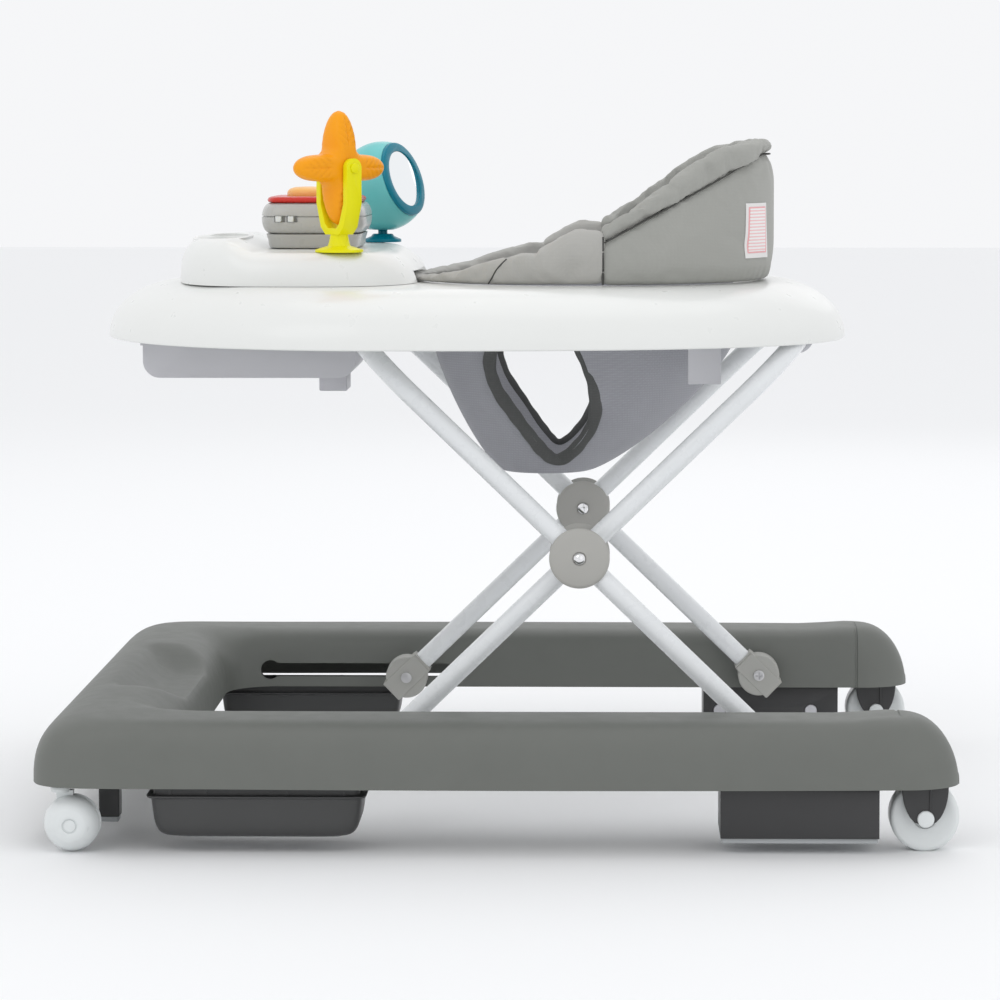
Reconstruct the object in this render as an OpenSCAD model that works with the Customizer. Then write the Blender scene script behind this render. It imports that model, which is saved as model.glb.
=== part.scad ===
// Baby walker: a U-shaped base on wheels, crossed folding legs and a tray with a fabric seat and toys.
// The child faces -X, so the seat back is at +X and the child's left is at -Y.

/* [Base] */
// Overall length of the base, front to rear
base_l = 708; // [600:4:840]
// Overall width of the base, side to side
base_w = 600; // [500:5:720]
// Width of each side beam
beam_w = 85; // [72:1:100]
// Height of the moulding's lower edge above the floor
base_bottom = 51; // [44:1:60]
// Height of the beam tops above the floor
beam_top = 101; // [90:1:118]
// Depth of the front member, front to rear
front_depth = 104; // [84:1:120]
// Radius of the inner corners in plan
inner_r = 42; // [34:1:50]
// Wall of the hollow base moulding
base_wall = 3; // [2.5:0.1:4]
// How much the beams bow inwards towards their ends
beam_bow = 9; // [0:0.5:12]

/* [Folding legs] */
// Outer diameter of the leg tube
tube_d = 16; // [13:0.5:19]
// Wall of the leg tube
tube_wall = 1.5; // [1:0.1:2.5]
// Distance from the centre pivot to a lower pivot
lower_leg = 216; // [180:1:259]
// Distance from the centre pivot to an upper crossbar
upper_leg = 240; // [200:1:288]
// Angle of the legs above the floor, in use
leg_angle = 44; // [37:0.5:52]
// Angle of the legs above the floor, folded
folded_angle = 8; // [8:0.5:12]
// Height of the lower pivots above the floor
pivot_h = 66; // [62:0.5:72]
// Distance from the rear of the base to the rear pivots
rear_pivot_inset = 134; // [112:1:160]
// Gap between the outer legs' fittings and the beams
leg_beam_gap = 6.5; // [5:0.5:10]
// Gap between a crossing pair of tubes
tube_pair_gap = 2; // [1.5:0.5:4]
// Bend radius of the upper corners, to the tube's middle
bend_r = 60; // [50:1:72]
// Width of a lower end fitting, across the leg
fitting_t = 21; // [19:0.5:24]
// Diameter of a lower end fitting
fitting_d = 36.5; // [30:0.5:43]
// Diameter of the pivot screws and the slider pins
screw_d = 8; // [6.5:0.5:9]
// Diameter of the centre rivets
rivet_d = 6; // [5:0.5:7]
// Diameter of the centre cover discs
disc_d = 47; // [39:1:56]
// Thickness of a centre cover disc
disc_t = 4; // [3:0.5:4]

/* [Fits] */
// Running clearance of a pin in its hole, all round
run_fit = 0.06; // [0.03:0.01:0.09]
// Gap left between faces of neighbouring pieces
face_gap = 0.3; // [0.2:0.05:0.5]
// Clearance of the sliding collars in the beam slots
slot_fit = 0.2; // [0.15:0.05:0.4]

/* [Wheels and stoppers] */
// Diameter of a rear wheel
rear_wheel_d = 53; // [44:1:60]
// Width of a rear wheel
rear_wheel_w = 24; // [20:1:28]
// Diameter of a wheel axle
axle_d = 6; // [5:0.5:7]
// Diameter of a front caster ball
caster_d = 44; // [38:1:46]
// Trail of a caster ball behind its stem
caster_trail = 9; // [8:0.5:11]
// Diameter of a caster stem
stem_d = 10; // [8:0.5:12]
// Clearance between the floor and the stoppers
stop_clearance = 8.5; // [7:0.5:10]
// Length of a front stopper tub at its rim
tub_l = 167; // [140:1:195]
// Length of a rear stopper block
stop_block_l = 120; // [100:1:140]
// Thickness of the rubber strips
rubber_t = 4; // [3:0.5:5]

/* [Tray] */
// Length of the tray, front to rear
tray_l = 604; // [510:1:690]
// Width of the tray
tray_w = 508; // [430:1:560]
// Height of the tray's rounded skirt
skirt_h = 45; // [40:1:50]
// Width of the tray's rounded skirt
skirt_w = 58; // [48:1:64]
// Wall of the tray
tray_wall = 3; // [2.5:0.1:4]
// How far the tray reaches past the rear crossbar
tray_overhang = 43; // [36:1:51]
// Width of the height adjuster under the tray
channel_w = 120; // [100:1:140]
// Length of the height adjuster's tub
channel_l = 173; // [165:1:200]
// How far the height adjuster's tub hangs below the crossbar
channel_drop = 37; // [33:1:42]
// Travel of the height latch
latch_travel = 6; // [4:0.5:7]

/* [Seat] */
// Length of the seat ring, outside
seat_l = 305; // [280:1:320]
// Width of the seat ring, outside
seat_w = 310; // [260:1:340]
// Thickness of the seat pads
pad_t = 20; // [16:1:24]
// Height of the seat back above the tray
back_h = 117; // [95:1:140]
// Height of the seat band where it meets the back
band_h = 48; // [40:1:56]
// How far the sling hangs below the tray top
sling_drop = 156; // [130:1:157]
// Thickness of the sling fabric
sling_t = 2.5; // [2:0.25:3.5]

/* [Toys] */
// Length of the toy console, front to rear
console_l = 200; // [180:1:215]
// Width of the toy console
console_w = 330; // [300:1:360]
// Height of the toy console above the tray
console_h = 27; // [24:1:32]
// Length of the music toy, front to rear
toy_l = 86; // [76:1:96]
// Width of the music toy
toy_w = 130; // [110:1:140]
// Height of the music toy
toy_h = 42; // [36:1:50]
// Travel of the music toy's big button
button_travel = 3; // [2:0.5:3]
// Travel of the slide switches
switch_travel = 3; // [2:0.5:4]
// Length of a star arm from the middle
star_r = 45; // [38:1:50]
// Thickness of the star
star_t = 26; // [22:1:30]
// Radius of the mirror ball
ball_r = 38.5; // [33:0.5:42]
// Distance of each flat face from the middle of the mirror ball
ball_face = 21; // [18:0.5:23]
// Diameter of the mirror
mirror_d = 49; // [41:1:52]

/* [Hidden] */

$fn = 64;
eps = 0.01;
hull_fn = 32;

// Where the legs stand
rear_x = base_l / 2;
front_x = -base_l / 2;
beam_face = base_w / 2 - beam_w;
pivot_rear = [rear_x - rear_pivot_inset, pivot_h];
function centre_at(a) = pivot_rear + lower_leg * [-cos(a), sin(a)];
function front_top_at(a) = centre_at(a) + upper_leg * [-cos(a), sin(a)];
function rear_top_at(a) = centre_at(a) + upper_leg * [cos(a), sin(a)];
function front_low_at(a) = centre_at(a) - lower_leg * [cos(a), sin(a)];
centre = centre_at(leg_angle);
front_top = front_top_at(leg_angle);
rear_top = rear_top_at(leg_angle);
front_low = front_low_at(leg_angle);
fold_drop = rear_top[1] - rear_top_at(folded_angle)[1];
fold_shift = rear_top_at(folded_angle)[0] - rear_top[0];
slot_front = front_low_at(folded_angle)[0] - 4;
slot_rear = front_low[0] + 33;
tube_r = tube_d / 2;
leg_a_y = beam_face - leg_beam_gap - fitting_t / 2;
leg_b_y = leg_a_y - tube_d - tube_pair_gap;

// Where the tray and what it carries stand
tray_rear = rear_top[0] + tray_overhang;
tray_front = tray_rear - tray_l;
tray_wide_x = tray_front + 0.387 * tray_l;
tray_bottom = rear_top[1] - 3.6;
tray_top = tray_bottom + skirt_h;
seat_x = tray_rear - skirt_w - seat_l / 2;
hole_a = seat_l / 2 - pad_t;
hole_b = seat_w / 2 - pad_t;
console_x = tray_front + skirt_w + 4 + console_l / 2;
console_low = tray_top + face_gap;
console_top = console_low + console_h - 1;
toy_x = console_x + 8;
toy_z = console_top + face_gap;
star_x = console_x + 36;
star_y = -console_w / 2 + 27;
star_z = console_top + 66.7;
ball_x = console_x + 54;
ball_y = console_w / 2 - 38;
ball_z = console_top + 9.7 + ball_r;

function sgn_pow(v, p) = sign(v) * pow(abs(v), p);
function mix(a, b, t) = a + (b - a) * t;
function clamp01(t) = max(0, min(1, t));

// Skins a stack of rings with equal point counts into a closed solid, capped flat at both ends.
module skin(rings) {
    n = len(rings[0]);
    m = len(rings);
    sides = [for (i = [0:m - 2], j = [0:n - 1])
        let (k = (j + 1) % n, a = i * n + j, b = i * n + k)
        each [[a, a + n, b + n], [a, b + n, b]]];
    first_cap = [for (j = [0:n - 1]) j];
    last_cap = [for (j = [n - 1:-1:0]) (m - 1) * n + j];
    polyhedron([for (r = rings) each r], concat(sides, [first_cap, last_cap]), convexity = 6);
}

// An egg-shaped ring: one length to the front of xc, another to its rear, and the same width.
function egg(xc, front_a, rear_a, b, n_front, n_rear, z, count) = [for (i = [0:count - 1])
    let (t = 360 * i / count, c = cos(t), s = sin(t), n = c < 0 ? n_front : n_rear)
    [xc + (c < 0 ? front_a : rear_a) * sgn_pow(c, 2 / n), b * sgn_pow(s, 2 / n), z]];
function oval(xc, a, b, n, z, count) = egg(xc, a, a, b, n, n, z, count);

module flat(ring) {
    polygon([for (p = ring) [p[0], p[1]]]);
}

module both_sides() {
    children();
    mirror([0, 1, 0]) children();
}

// A cylinder along Y, from y0 to y1, at x and z.
module y_rod(x, z, r, y0, y1) {
    translate([x, y0, z]) rotate([-90, 0, 0]) cylinder(r = r, h = y1 - y0);
}

// A box from its lowest corner to its highest.
module span(low, high) {
    translate(low) cube(high - low);
}

// ---- Base ----

// Plan of the base as pairs of edge points, from a rear end round to the middle of the front.
nose_l = 40;
straight_x = front_x + front_depth + inner_r;
corner_y = beam_face - inner_r;
function nose_share(x) = x > rear_x - nose_l
    ? sqrt(max(0.02, 1 - pow((x - rear_x + nose_l) / nose_l, 2))) : 1;
function bowed(x) = beam_bow * pow(x / rear_x, 2);
mid_y = beam_face + beam_w / 2;

// Each station is [inner point, outer point, height share, side roundness].
function beam_station(x) = let (k = nose_share(x), half = beam_w / 2 * mix(1, k, 0.75))
    [[x, mid_y - half], [x, mid_y + half - bowed(x)], k, k < 1 ? 3.2 : 5];
function corner_station(t) = let (n = 7)
    [[straight_x - inner_r * sin(t), corner_y + inner_r * cos(t)],
     [straight_x - (straight_x - front_x) * sgn_pow(sin(t), 2 / n),
      corner_y + (base_w / 2 - bowed(straight_x) - corner_y) * sgn_pow(cos(t), 2 / n)],
     1 + 0.05 * sin(t), mix(5, 2.6, sin(t))];
function front_station(y) = [[front_x + front_depth, y], [front_x, y], 1.05, 2.6];
half_stations = concat(
    [for (i = [9:-1:1]) beam_station(rear_x - nose_l * (1 - sin(i * 10)))],
    [for (i = [0:7]) beam_station(mix(rear_x - nose_l, straight_x, i / 7))],
    [for (i = [1:11]) corner_station(i * 90 / 12)],
    [for (i = [0:3]) front_station(mix(corner_y, 0, i / 3))]);
function mirrored(s) = [[s[0][0], -s[0][1]], [s[1][0], -s[1][1]], s[2], s[3]];
stations = concat(half_stations,
    [for (i = [len(half_stations) - 2:-1:0]) mirrored(half_stations[i])]);

// One arch-shaped ring across the moulding, set in from its faces by inset.
arch_steps = 14;
function arch(s, inset, low) = let (
    inner = s[0], outer = s[1], middle = (inner + outer) / 2, reach = norm(outer - inner) / 2,
    out_dir = (outer - inner) / (2 * reach), half = reach - inset,
    height = (beam_top - base_bottom) * s[2] - inset)
    [for (i = [0:arch_steps]) let (a = 180 * i / arch_steps,
        v = -sgn_pow(cos(a), 2 / s[3]), p = middle + out_dir * half * v)
        [p[0], p[1], base_bottom - low + (height + low) * pow(sin(a), 2 / s[3])]];
cavity_stations = [for (s = stations) if (s[0][0] < rear_x - nose_l * 0.2) s];

// The scoop in the front member, which the height adjuster drops into when the walker is folded.
scoop_z = rear_top[1] - channel_drop - fold_drop - 8;
module scoop(grow) {
    x0 = front_x + 50 - grow;
    x1 = front_x + front_depth + 20;
    half = channel_w / 2 + 45 + grow;
    hull() {
        translate([x0 + 22, -half + 40, scoop_z - grow]) cube([x1 - x0, 2 * half - 80, 60]);
        translate([x0, -half, beam_top - 4]) cube([x1 - x0, 2 * half, 60]);
    }
}

module slot_shape(half_h) {
    translate([slot_front, pivot_h]) circle(r = half_h);
    translate([slot_rear, pivot_h]) circle(r = half_h);
    translate([slot_front, pivot_h - half_h]) square([slot_rear - slot_front, 2 * half_h]);
}

// The collars that slide in the slots, and the flange that holds each one in.
collar_r = 5.7;
flange_r = 8;
keyhole_r = flange_r + 0.5;
keyhole_x = slot_front - 3;
module slot_cut(y0, y1) {
    translate([0, y1, 0]) rotate([90, 0, 0]) linear_extrude(y1 - y0) {
        slot_shape(collar_r + slot_fit);
        translate([keyhole_x, pivot_h]) circle(r = keyhole_r);
    }
}

module base_shell() color([0.42, 0.43, 0.41]) resize([base_l, 0, 0]) difference() {
    skin([for (s = stations) arch(s, 0, 0)]);
    difference() {
        skin([for (s = cavity_stations) arch(s, base_wall, 2)]);
        scoop(base_wall);
    }
    scoop(0);
    both_sides() {
        slot_cut(beam_face - 5, mid_y);
        y_rod(pivot_rear[0], pivot_h, screw_d / 2 + face_gap, beam_face - 5, mid_y);
    }
}

track_y = beam_face + base_wall + 2 * face_gap;
track_t = 1.5;
module slot_tracks() color([0.7, 0.71, 0.72]) both_sides() difference() {
    span([slot_front - 16, track_y, pivot_h - 11], [slot_rear + 12, track_y + track_t, pivot_h + 9.5]);
    slot_cut(track_y - 1, track_y + track_t + 1);
}

spacer_r = 10;
module leg_spacers() color([0.3, 0.3, 0.3]) both_sides() difference() {
    y_rod(pivot_rear[0], pivot_h, spacer_r, leg_a_y + fitting_t / 2 + face_gap, beam_face - face_gap);
    y_rod(pivot_rear[0], pivot_h, screw_d / 2 + run_fit, 0, base_w);
}

head_h = 2.4;
head_r = 4.7;
nut_y = track_y;
module rear_pivot_screws() color([0.75, 0.75, 0.76]) both_sides() {
    inner = leg_a_y - fitting_t / 2;
    difference() {
        union() {
            y_rod(pivot_rear[0], pivot_h, screw_d / 2, inner - 1, nut_y + 6);
            y_rod(pivot_rear[0], pivot_h, head_r, inner - face_gap - head_h, inner - face_gap);
            y_rod(pivot_rear[0], pivot_h, screw_d * 0.85, nut_y, nut_y + 5);
        }
        span([pivot_rear[0] - 0.6, inner - 4, pivot_h - 3], [pivot_rear[0] + 0.6, inner - 1.5, pivot_h + 3]);
        span([pivot_rear[0] - 3, inner - 4, pivot_h - 0.6], [pivot_rear[0] + 3, inner - 1.5, pivot_h + 0.6]);
    }
}

// Stoppers under the beams keep the walker from rolling off a step.
tub_front = front_x + 91;
tub_w = beam_w - 14;
tub_y = mid_y - bowed(tub_front) / 2;
tub_base = stop_clearance + rubber_t;
rim_h = 5;
post_d = 9;
beam_ceiling = beam_top - base_wall - face_gap;
front_ceiling = base_bottom + 1.05 * (beam_top - base_bottom) - base_wall - 1;
module tub_body(half_l, half_w, low, inset) {
    x = tub_front + tub_l / 2;
    hull() {
        for (i = [-1, 1], j = [-1, 1]) {
            translate([x + i * (half_l - 14), tub_y + j * (half_w - 8), low]) cylinder(r = 4, h = 1, $fn = hull_fn);
            translate([x + i * (half_l - 8 - inset), tub_y + j * (half_w - 6), base_bottom - 2])
                cylinder(r = 4, h = 1, $fn = hull_fn);
        }
    }
}
module front_stop_tubs() color([0.27, 0.27, 0.27]) both_sides() {
    difference() {
        union() {
            tub_body(tub_l / 2 - 2, tub_w / 2, tub_base, 0);
            span([tub_front, tub_y - tub_w / 2, base_bottom - face_gap - rim_h],
                [tub_front + tub_l, tub_y + tub_w / 2, base_bottom - face_gap]);
        }
        tub_body(tub_l / 2 - 5, tub_w / 2 - 3, tub_base + 3, 0);
        span([tub_front + 8, tub_y - tub_w / 2 + 6, base_bottom - 10],
            [tub_front + tub_l - 8, tub_y + tub_w / 2 - 6, base_bottom + 1]);
    }
    for (share = [0.25, 0.66])
        translate([tub_front + share * tub_l, tub_y, tub_base + 2])
            cylinder(d = post_d, h = beam_ceiling - tub_base - 2);
}
pad_w = 16;
module front_stop_pads() color([0.65, 0.66, 0.68]) both_sides()
    span([tub_front + 22, tub_y - pad_w / 2, stop_clearance],
        [tub_front + tub_l - 22, tub_y + pad_w / 2, tub_base]);

block_rear = rear_x - 62;
block_front = block_rear - stop_block_l;
block_y = mid_y - bowed(block_rear) / 2;
block_w = beam_w - 22;
plug_z = stop_clearance + 20.5;
plug_r = 5.25;
module rear_stop_blocks() color([0.22, 0.21, 0.21]) both_sides() {
    difference() {
        span([block_front, block_y - block_w / 2, tub_base], [block_rear, block_y + block_w / 2, base_bottom - 1]);
        span([block_front + 3, block_y - block_w / 2 + 3, tub_base + 3],
            [block_rear - 3, block_y + block_w / 2 - 3, base_bottom]);
        for (share = [0.12, 0.8])
            y_rod(mix(block_front, block_rear, share), plug_z, plug_r + face_gap, block_y - block_w, block_y);
    }
    for (share = [0.3, 0.7])
        translate([mix(block_front, block_rear, share), block_y, tub_base + 2])
            cylinder(d = post_d, h = beam_ceiling - tub_base - 2);
}
module rear_stop_pads() color([0.65, 0.66, 0.68]) both_sides()
    span([block_front + 1, block_y - block_w / 2 + 2, stop_clearance],
        [block_rear - 1, block_y + block_w / 2 - 2, tub_base]);
module rear_stop_plugs() color([0.8, 0.8, 0.8]) both_sides()
    for (share = [0.12, 0.8])
        y_rod(mix(block_front, block_rear, share), plug_z, plug_r,
            block_y - block_w / 2 - 0.8, block_y - block_w / 2 + 3);

foot_x = front_x + 52;
foot_y = beam_face - 17;
foot_w = 16;
module front_feet() color([0.3, 0.31, 0.3]) both_sides()
    span([foot_x - foot_w / 2, foot_y - foot_w / 2, tub_base],
        [foot_x + foot_w / 2, foot_y + foot_w / 2, front_ceiling]);
module front_foot_tips() color([0.7, 0.71, 0.72]) both_sides()
    span([foot_x - foot_w / 2 + 1, foot_y - foot_w / 2 + 1, stop_clearance],
        [foot_x + foot_w / 2 - 1, foot_y + foot_w / 2 - 1, tub_base]);

// ---- Wheels ----

wheel_x = rear_x - rear_wheel_d / 2;
wheel_y = mid_y + 1;
wheel_z = rear_wheel_d / 2;
ear_t = 8;
ear_gap = 1;
axle_r = axle_d / 2;
module rear_wheel(side) color([0.93, 0.94, 0.94]) translate([wheel_x, side * wheel_y, wheel_z])
    rotate([90, 0, 0]) difference() {
        rotate_extrude() {
            half = rear_wheel_w / 2;
            polygon([[0, -half + 2], [9, -half + 2], [9, -half], [rear_wheel_d / 2 - 3.5, -half],
                [rear_wheel_d / 2, -half + 4], [rear_wheel_d / 2, half - 4], [rear_wheel_d / 2 - 3.5, half],
                [9, half], [9, half - 2], [0, half - 2]]);
        }
        cylinder(r = axle_r + run_fit, h = rear_wheel_w * 2, center = true);
    }
module rear_wheel_left() rear_wheel(-1);
module rear_wheel_right() rear_wheel(1);

// The ear narrows from the beam down to the axle.
ear_w = 36;
module wheel_ear(y0) {
    translate([0, y0 + ear_t, 0]) rotate([90, 0, 0]) linear_extrude(ear_t) difference() {
        polygon([[wheel_x - ear_w / 2, base_bottom + 6], [wheel_x - ear_w / 2, base_bottom - 8],
            [wheel_x - ear_w / 2 + 3, wheel_z + 9], [wheel_x - 7, wheel_z - 1], [wheel_x - 4, wheel_z - 5],
            [wheel_x + 4, wheel_z - 5], [wheel_x + 7, wheel_z - 1],
            [wheel_x + ear_w / 2 - 6, wheel_z + 9], [wheel_x + ear_w / 2 - 5, base_bottom - 8],
            [wheel_x + ear_w / 2 - 5, base_bottom + 6]]);
        translate([wheel_x, wheel_z]) circle(r = axle_r + run_fit);
    }
}
module rear_wheel_brackets() color([0.25, 0.25, 0.25]) both_sides() {
    wheel_ear(wheel_y + rear_wheel_w / 2 + ear_gap);
    wheel_ear(wheel_y - rear_wheel_w / 2 - ear_gap - ear_t);
    span([wheel_x - ear_w / 2, wheel_y - rear_wheel_w / 2 - ear_gap - ear_t, rear_wheel_d + 1.5],
        [wheel_x + ear_w / 2 - 5, wheel_y + rear_wheel_w / 2 + ear_gap + ear_t, rear_wheel_d + 6.5]);
}
axle_reach = rear_wheel_w / 2 + ear_gap + ear_t;
module rear_wheel_axles() color([0.86, 0.87, 0.88]) both_sides() {
    y_rod(wheel_x, wheel_z, axle_r, wheel_y - axle_reach - 2.5, wheel_y + axle_reach + 1);
    y_rod(wheel_x, wheel_z, 6, wheel_y + axle_reach + face_gap, wheel_y + axle_reach + 2.5);
    y_rod(wheel_x, wheel_z, 5, wheel_y - axle_reach - 2.5, wheel_y - axle_reach - face_gap);
}

// A front caster is a ball in two halves, which turn on an axle in a web that hangs from the stem.
stem_x = front_x + 25;
caster_r = caster_d / 2;
caster_x = stem_x + caster_trail;
caster_y = base_w / 2 - 24;
web_t = 6;
stem_r = stem_d / 2;
socket_bottom = base_bottom - 1;
socket_top = beam_top - 21;
socket_r = stem_r + 3.5;
rib_t = 2;
// Each socket is cut to the moulding's curved ceiling.
module caster_sockets() color([0.25, 0.25, 0.25]) resize([0, 2 * (caster_y + socket_r), 0]) difference() {
    intersection() {
        both_sides() translate([stem_x, caster_y, 0]) {
            translate([0, 0, socket_bottom]) cylinder(r = socket_r, h = beam_top - socket_bottom);
            span([0, -rib_t / 2, socket_bottom + 4], [socket_r + 12, rib_t / 2, beam_top]);
            span([-rib_t / 2, -socket_r - 12, socket_bottom + 4], [rib_t / 2, 0, beam_top]);
        }
        skin([for (s = cavity_stations) arch(s, base_wall + face_gap, 2)]);
    }
    both_sides() translate([stem_x, caster_y, socket_bottom - 1])
        cylinder(r = stem_r + run_fit, h = socket_top - socket_bottom + 1);
}
module caster_fork(side) color([0.9, 0.91, 0.92]) translate([0, side * caster_y, 0]) difference() {
    union() {
        translate([stem_x, 0, caster_d + 1.5]) cylinder(r = stem_r + 2.5, h = socket_bottom - caster_d - 2);
        translate([stem_x, 0, caster_r]) cylinder(r = web_t / 2, h = caster_r + 4);
        translate([stem_x, 0, caster_d + 2]) cylinder(r = stem_r, h = socket_top - caster_d - 9);
        y_rod(caster_x, caster_r, caster_r - 3.5, -web_t / 2, web_t / 2);
        span([stem_x - 3, -web_t / 2, caster_r + 8], [stem_x + 10, web_t / 2, caster_d + 3]);
    }
    y_rod(caster_x, caster_r, axle_r + run_fit, -web_t, web_t);
}
module caster_fork_left() caster_fork(-1);
module caster_fork_right() caster_fork(1);

half_gap = web_t / 2 + 0.6;
cap_y = caster_r - 3.5;
module caster_wheel(side) color([0.93, 0.94, 0.94]) translate([caster_x, side * caster_y, caster_r])
    rotate([90, 0, 0]) {
        for (flip = [0, 180]) rotate([flip, 0, 0]) difference() {
            intersection() {
                sphere(r = caster_r, $fn = 96);
                translate([0, 0, half_gap]) cylinder(r = caster_d, h = cap_y - half_gap);
            }
            translate([0, 0, cap_y - 1]) cylinder(r = 4.8, h = 3);
            cylinder(r = axle_r + run_fit, h = caster_r);
        }
        cylinder(r = axle_r, h = 2 * cap_y - 1, center = true);
    }
module caster_wheel_left() caster_wheel(-1);
module caster_wheel_right() caster_wheel(1);

// ---- Folding legs ----

// Local x runs up the leg from the centre pivot.
module along_a() translate([centre[0], 0, centre[1]]) rotate([0, 180 + leg_angle, 0]) children();
module along_b() translate([centre[0], 0, centre[1]]) rotate([0, -leg_angle, 0]) children();

socket_depth = 9;
module tube_ring() difference() {
    circle(r = tube_r);
    circle(r = tube_r - tube_wall);
}
module leg_u(y) difference() {
    straight = lower_leg - socket_depth + upper_leg - bend_r;
    union() {
        both_sides() {
            translate([socket_depth - lower_leg, y, 0]) rotate([0, 90, 0]) linear_extrude(straight) tube_ring();
            translate([upper_leg - bend_r, y - bend_r, 0])
                rotate_extrude(angle = 90) translate([bend_r, 0]) tube_ring();
        }
        translate([upper_leg, y - bend_r, 0]) rotate([90, 0, 0]) linear_extrude(2 * (y - bend_r)) tube_ring();
    }
    y_rod(0, 0, rivet_d / 2 + run_fit, -base_w, base_w);
}
// The fitting at a leg's lower end, with the pin's hole at the origin and the tube's socket along x.
module end_fitting(y) translate([0, y, 0]) difference() {
    union() {
        y_rod(0, 0, fitting_d / 2, -fitting_t / 2, fitting_t / 2);
        span([0, -fitting_t / 2, -tube_r - 2.5], [fitting_d / 2 + 2, fitting_t / 2, tube_r + 2.5]);
    }
    y_rod(0, 0, screw_d / 2 + run_fit, -fitting_t, fitting_t);
    translate([socket_depth - face_gap, 0, 0]) rotate([0, 90, 0]) cylinder(r = tube_r + run_fit, h = fitting_d);
}
// A shallow domed disc with its flat side at y = 0, facing +Y.
module cover_disc() rotate([-90, 0, 0]) difference() {
    rotate_extrude() polygon([[0, 0], [disc_d / 2, 0], [disc_d / 2, 1.2], [disc_d / 2 - 2, 2.4],
        [disc_d / 2 - 8, disc_t - 0.5], [8, disc_t], [0, disc_t]]);
    translate([0, 0, -1]) cylinder(r = rivet_d / 2 + run_fit, h = disc_t + 2);
}

module leg_a_tube() color([0.93, 0.94, 0.95]) along_a() leg_u(leg_a_y);
module leg_b_tube() color([0.93, 0.94, 0.95]) along_b() leg_u(leg_b_y);
module leg_a_fittings() color([0.64, 0.64, 0.62]) along_a()
    both_sides() translate([-lower_leg, 0, 0]) end_fitting(leg_a_y);
module leg_b_fittings() color([0.64, 0.64, 0.62]) along_b()
    both_sides() translate([-lower_leg, 0, 0]) end_fitting(leg_b_y);
module outer_cover_discs() color([0.66, 0.65, 0.62]) along_a()
    both_sides() translate([0, leg_a_y + tube_r + face_gap, 0]) cover_disc();
module inner_cover_discs() color([0.6, 0.6, 0.58]) along_b()
    both_sides() translate([0, leg_b_y - tube_r - face_gap, 0]) mirror([0, 1, 0]) cover_disc();

rivet_out = leg_a_y + tube_r + face_gap + disc_t + 0.1;
rivet_in = leg_b_y - tube_r - face_gap - disc_t - 0.1;
module centre_rivets() color([0.8, 0.8, 0.82]) along_a() both_sides() {
    y_rod(0, 0, rivet_d / 2, rivet_in - 1, rivet_out + 1);
    translate([0, rivet_out, 0]) rotate([-90, 0, 0]) rotate_extrude() intersection() {
        translate([0, -2.6]) circle(r = 5.6);
        square([5, 3]);
    }
    y_rod(0, 0, 4.7, rivet_in - 2, rivet_in);
    difference() {
        y_rod(0, 0, 8.5, leg_b_y + tube_r + face_gap, leg_a_y - tube_r - face_gap);
        y_rod(0, 0, rivet_d / 2 - eps, 0, base_w);
    }
}

slider_in = leg_b_y - fitting_t / 2;
module slider_pins() color([0.72, 0.72, 0.74]) both_sides() {
    x = front_low[0];
    y_rod(x, pivot_h, screw_d / 2, slider_in - 1, track_y + track_t + 4);
    y_rod(x, pivot_h, head_r, slider_in - face_gap - head_h, slider_in - face_gap);
    y_rod(x, pivot_h, collar_r, beam_face - 1.5, track_y + track_t + 1);
    y_rod(x, pivot_h, flange_r, track_y + track_t + 0.5, track_y + track_t + 3);
}
module slider_spacers() color([0.6, 0.6, 0.58]) both_sides() difference() {
    y_rod(front_low[0], pivot_h, spacer_r, leg_b_y + fitting_t / 2 + face_gap, beam_face - 2);
    y_rod(front_low[0], pivot_h, screw_d / 2 + run_fit, 0, base_w);
}

// ---- Tray ----

tray_points = 80;
skirt_steps = 8;
function tray_ring(inset, z) = egg(tray_wide_x, tray_wide_x - tray_front - inset, tray_rear - tray_wide_x - inset,
    tray_w / 2 - inset, 2.1, 2.8, z, tray_points);
function tray_rings(gap, low) = concat([tray_ring(gap, tray_bottom - low)],
    [for (i = [0:skirt_steps]) let (a = 90 * i / skirt_steps)
        tray_ring(gap + (skirt_w - gap) * (1 - cos(a)), tray_bottom + 2 + (skirt_h - 2 - gap) * sin(a))]);
seat_points = 64;
seat_n = 2.3;
function seat_ring(inset, z) = oval(seat_x, seat_l / 2 - inset, seat_w / 2 - inset, seat_n, z, seat_points);
module seat_prism(inset, z0, z1) translate([0, 0, z0]) linear_extrude(z1 - z0) flat(seat_ring(inset, 0));
module tray_shell() color([0.93, 0.94, 0.93]) difference() {
    union() {
        difference() {
            skin(tray_rings(0, 0));
            skin(tray_rings(tray_wall, 1));
        }
        difference() {
            seat_prism(pad_t - 4, tray_top - 22, tray_top - 1);
            seat_prism(pad_t - 1, tray_top - 30, tray_top - tray_wall - eps);
        }
    }
    seat_prism(pad_t, tray_top - 30, tray_top + 1);
}

// The height adjuster: a tub whose side rails guide the front crossbar.
channel_front = tray_front + 32;
channel_rear = channel_front + channel_l;
channel_bottom = rear_top[1] - channel_drop;
rail_t = 3;
rail_rear = front_top[0] + tube_r + 8;
travel_front = front_top_at(folded_angle)[0] - fold_shift;
under_tray = tray_top - tray_wall;
module channel_side(grow) {
    corner = 14;
    x0 = channel_front + grow;
    x1 = channel_rear - grow;
    z0 = channel_bottom + grow;
    r = corner - grow;
    translate([x0 + r, z0 + r]) circle(r = r);
    translate([x1 - r, z0 + r]) circle(r = r);
    translate([x0 + r, z0]) square([x1 - x0 - 2 * r, r]);
    translate([x0, z0 + r]) square([x1 - x0, tray_bottom - z0 - r]);
}
module channel_block(grow, half) translate([0, half, 0]) rotate([90, 0, 0])
    linear_extrude(2 * half) channel_side(grow);
latch_x = channel_rear - 21;
latch_neck = [16, 30];
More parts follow.
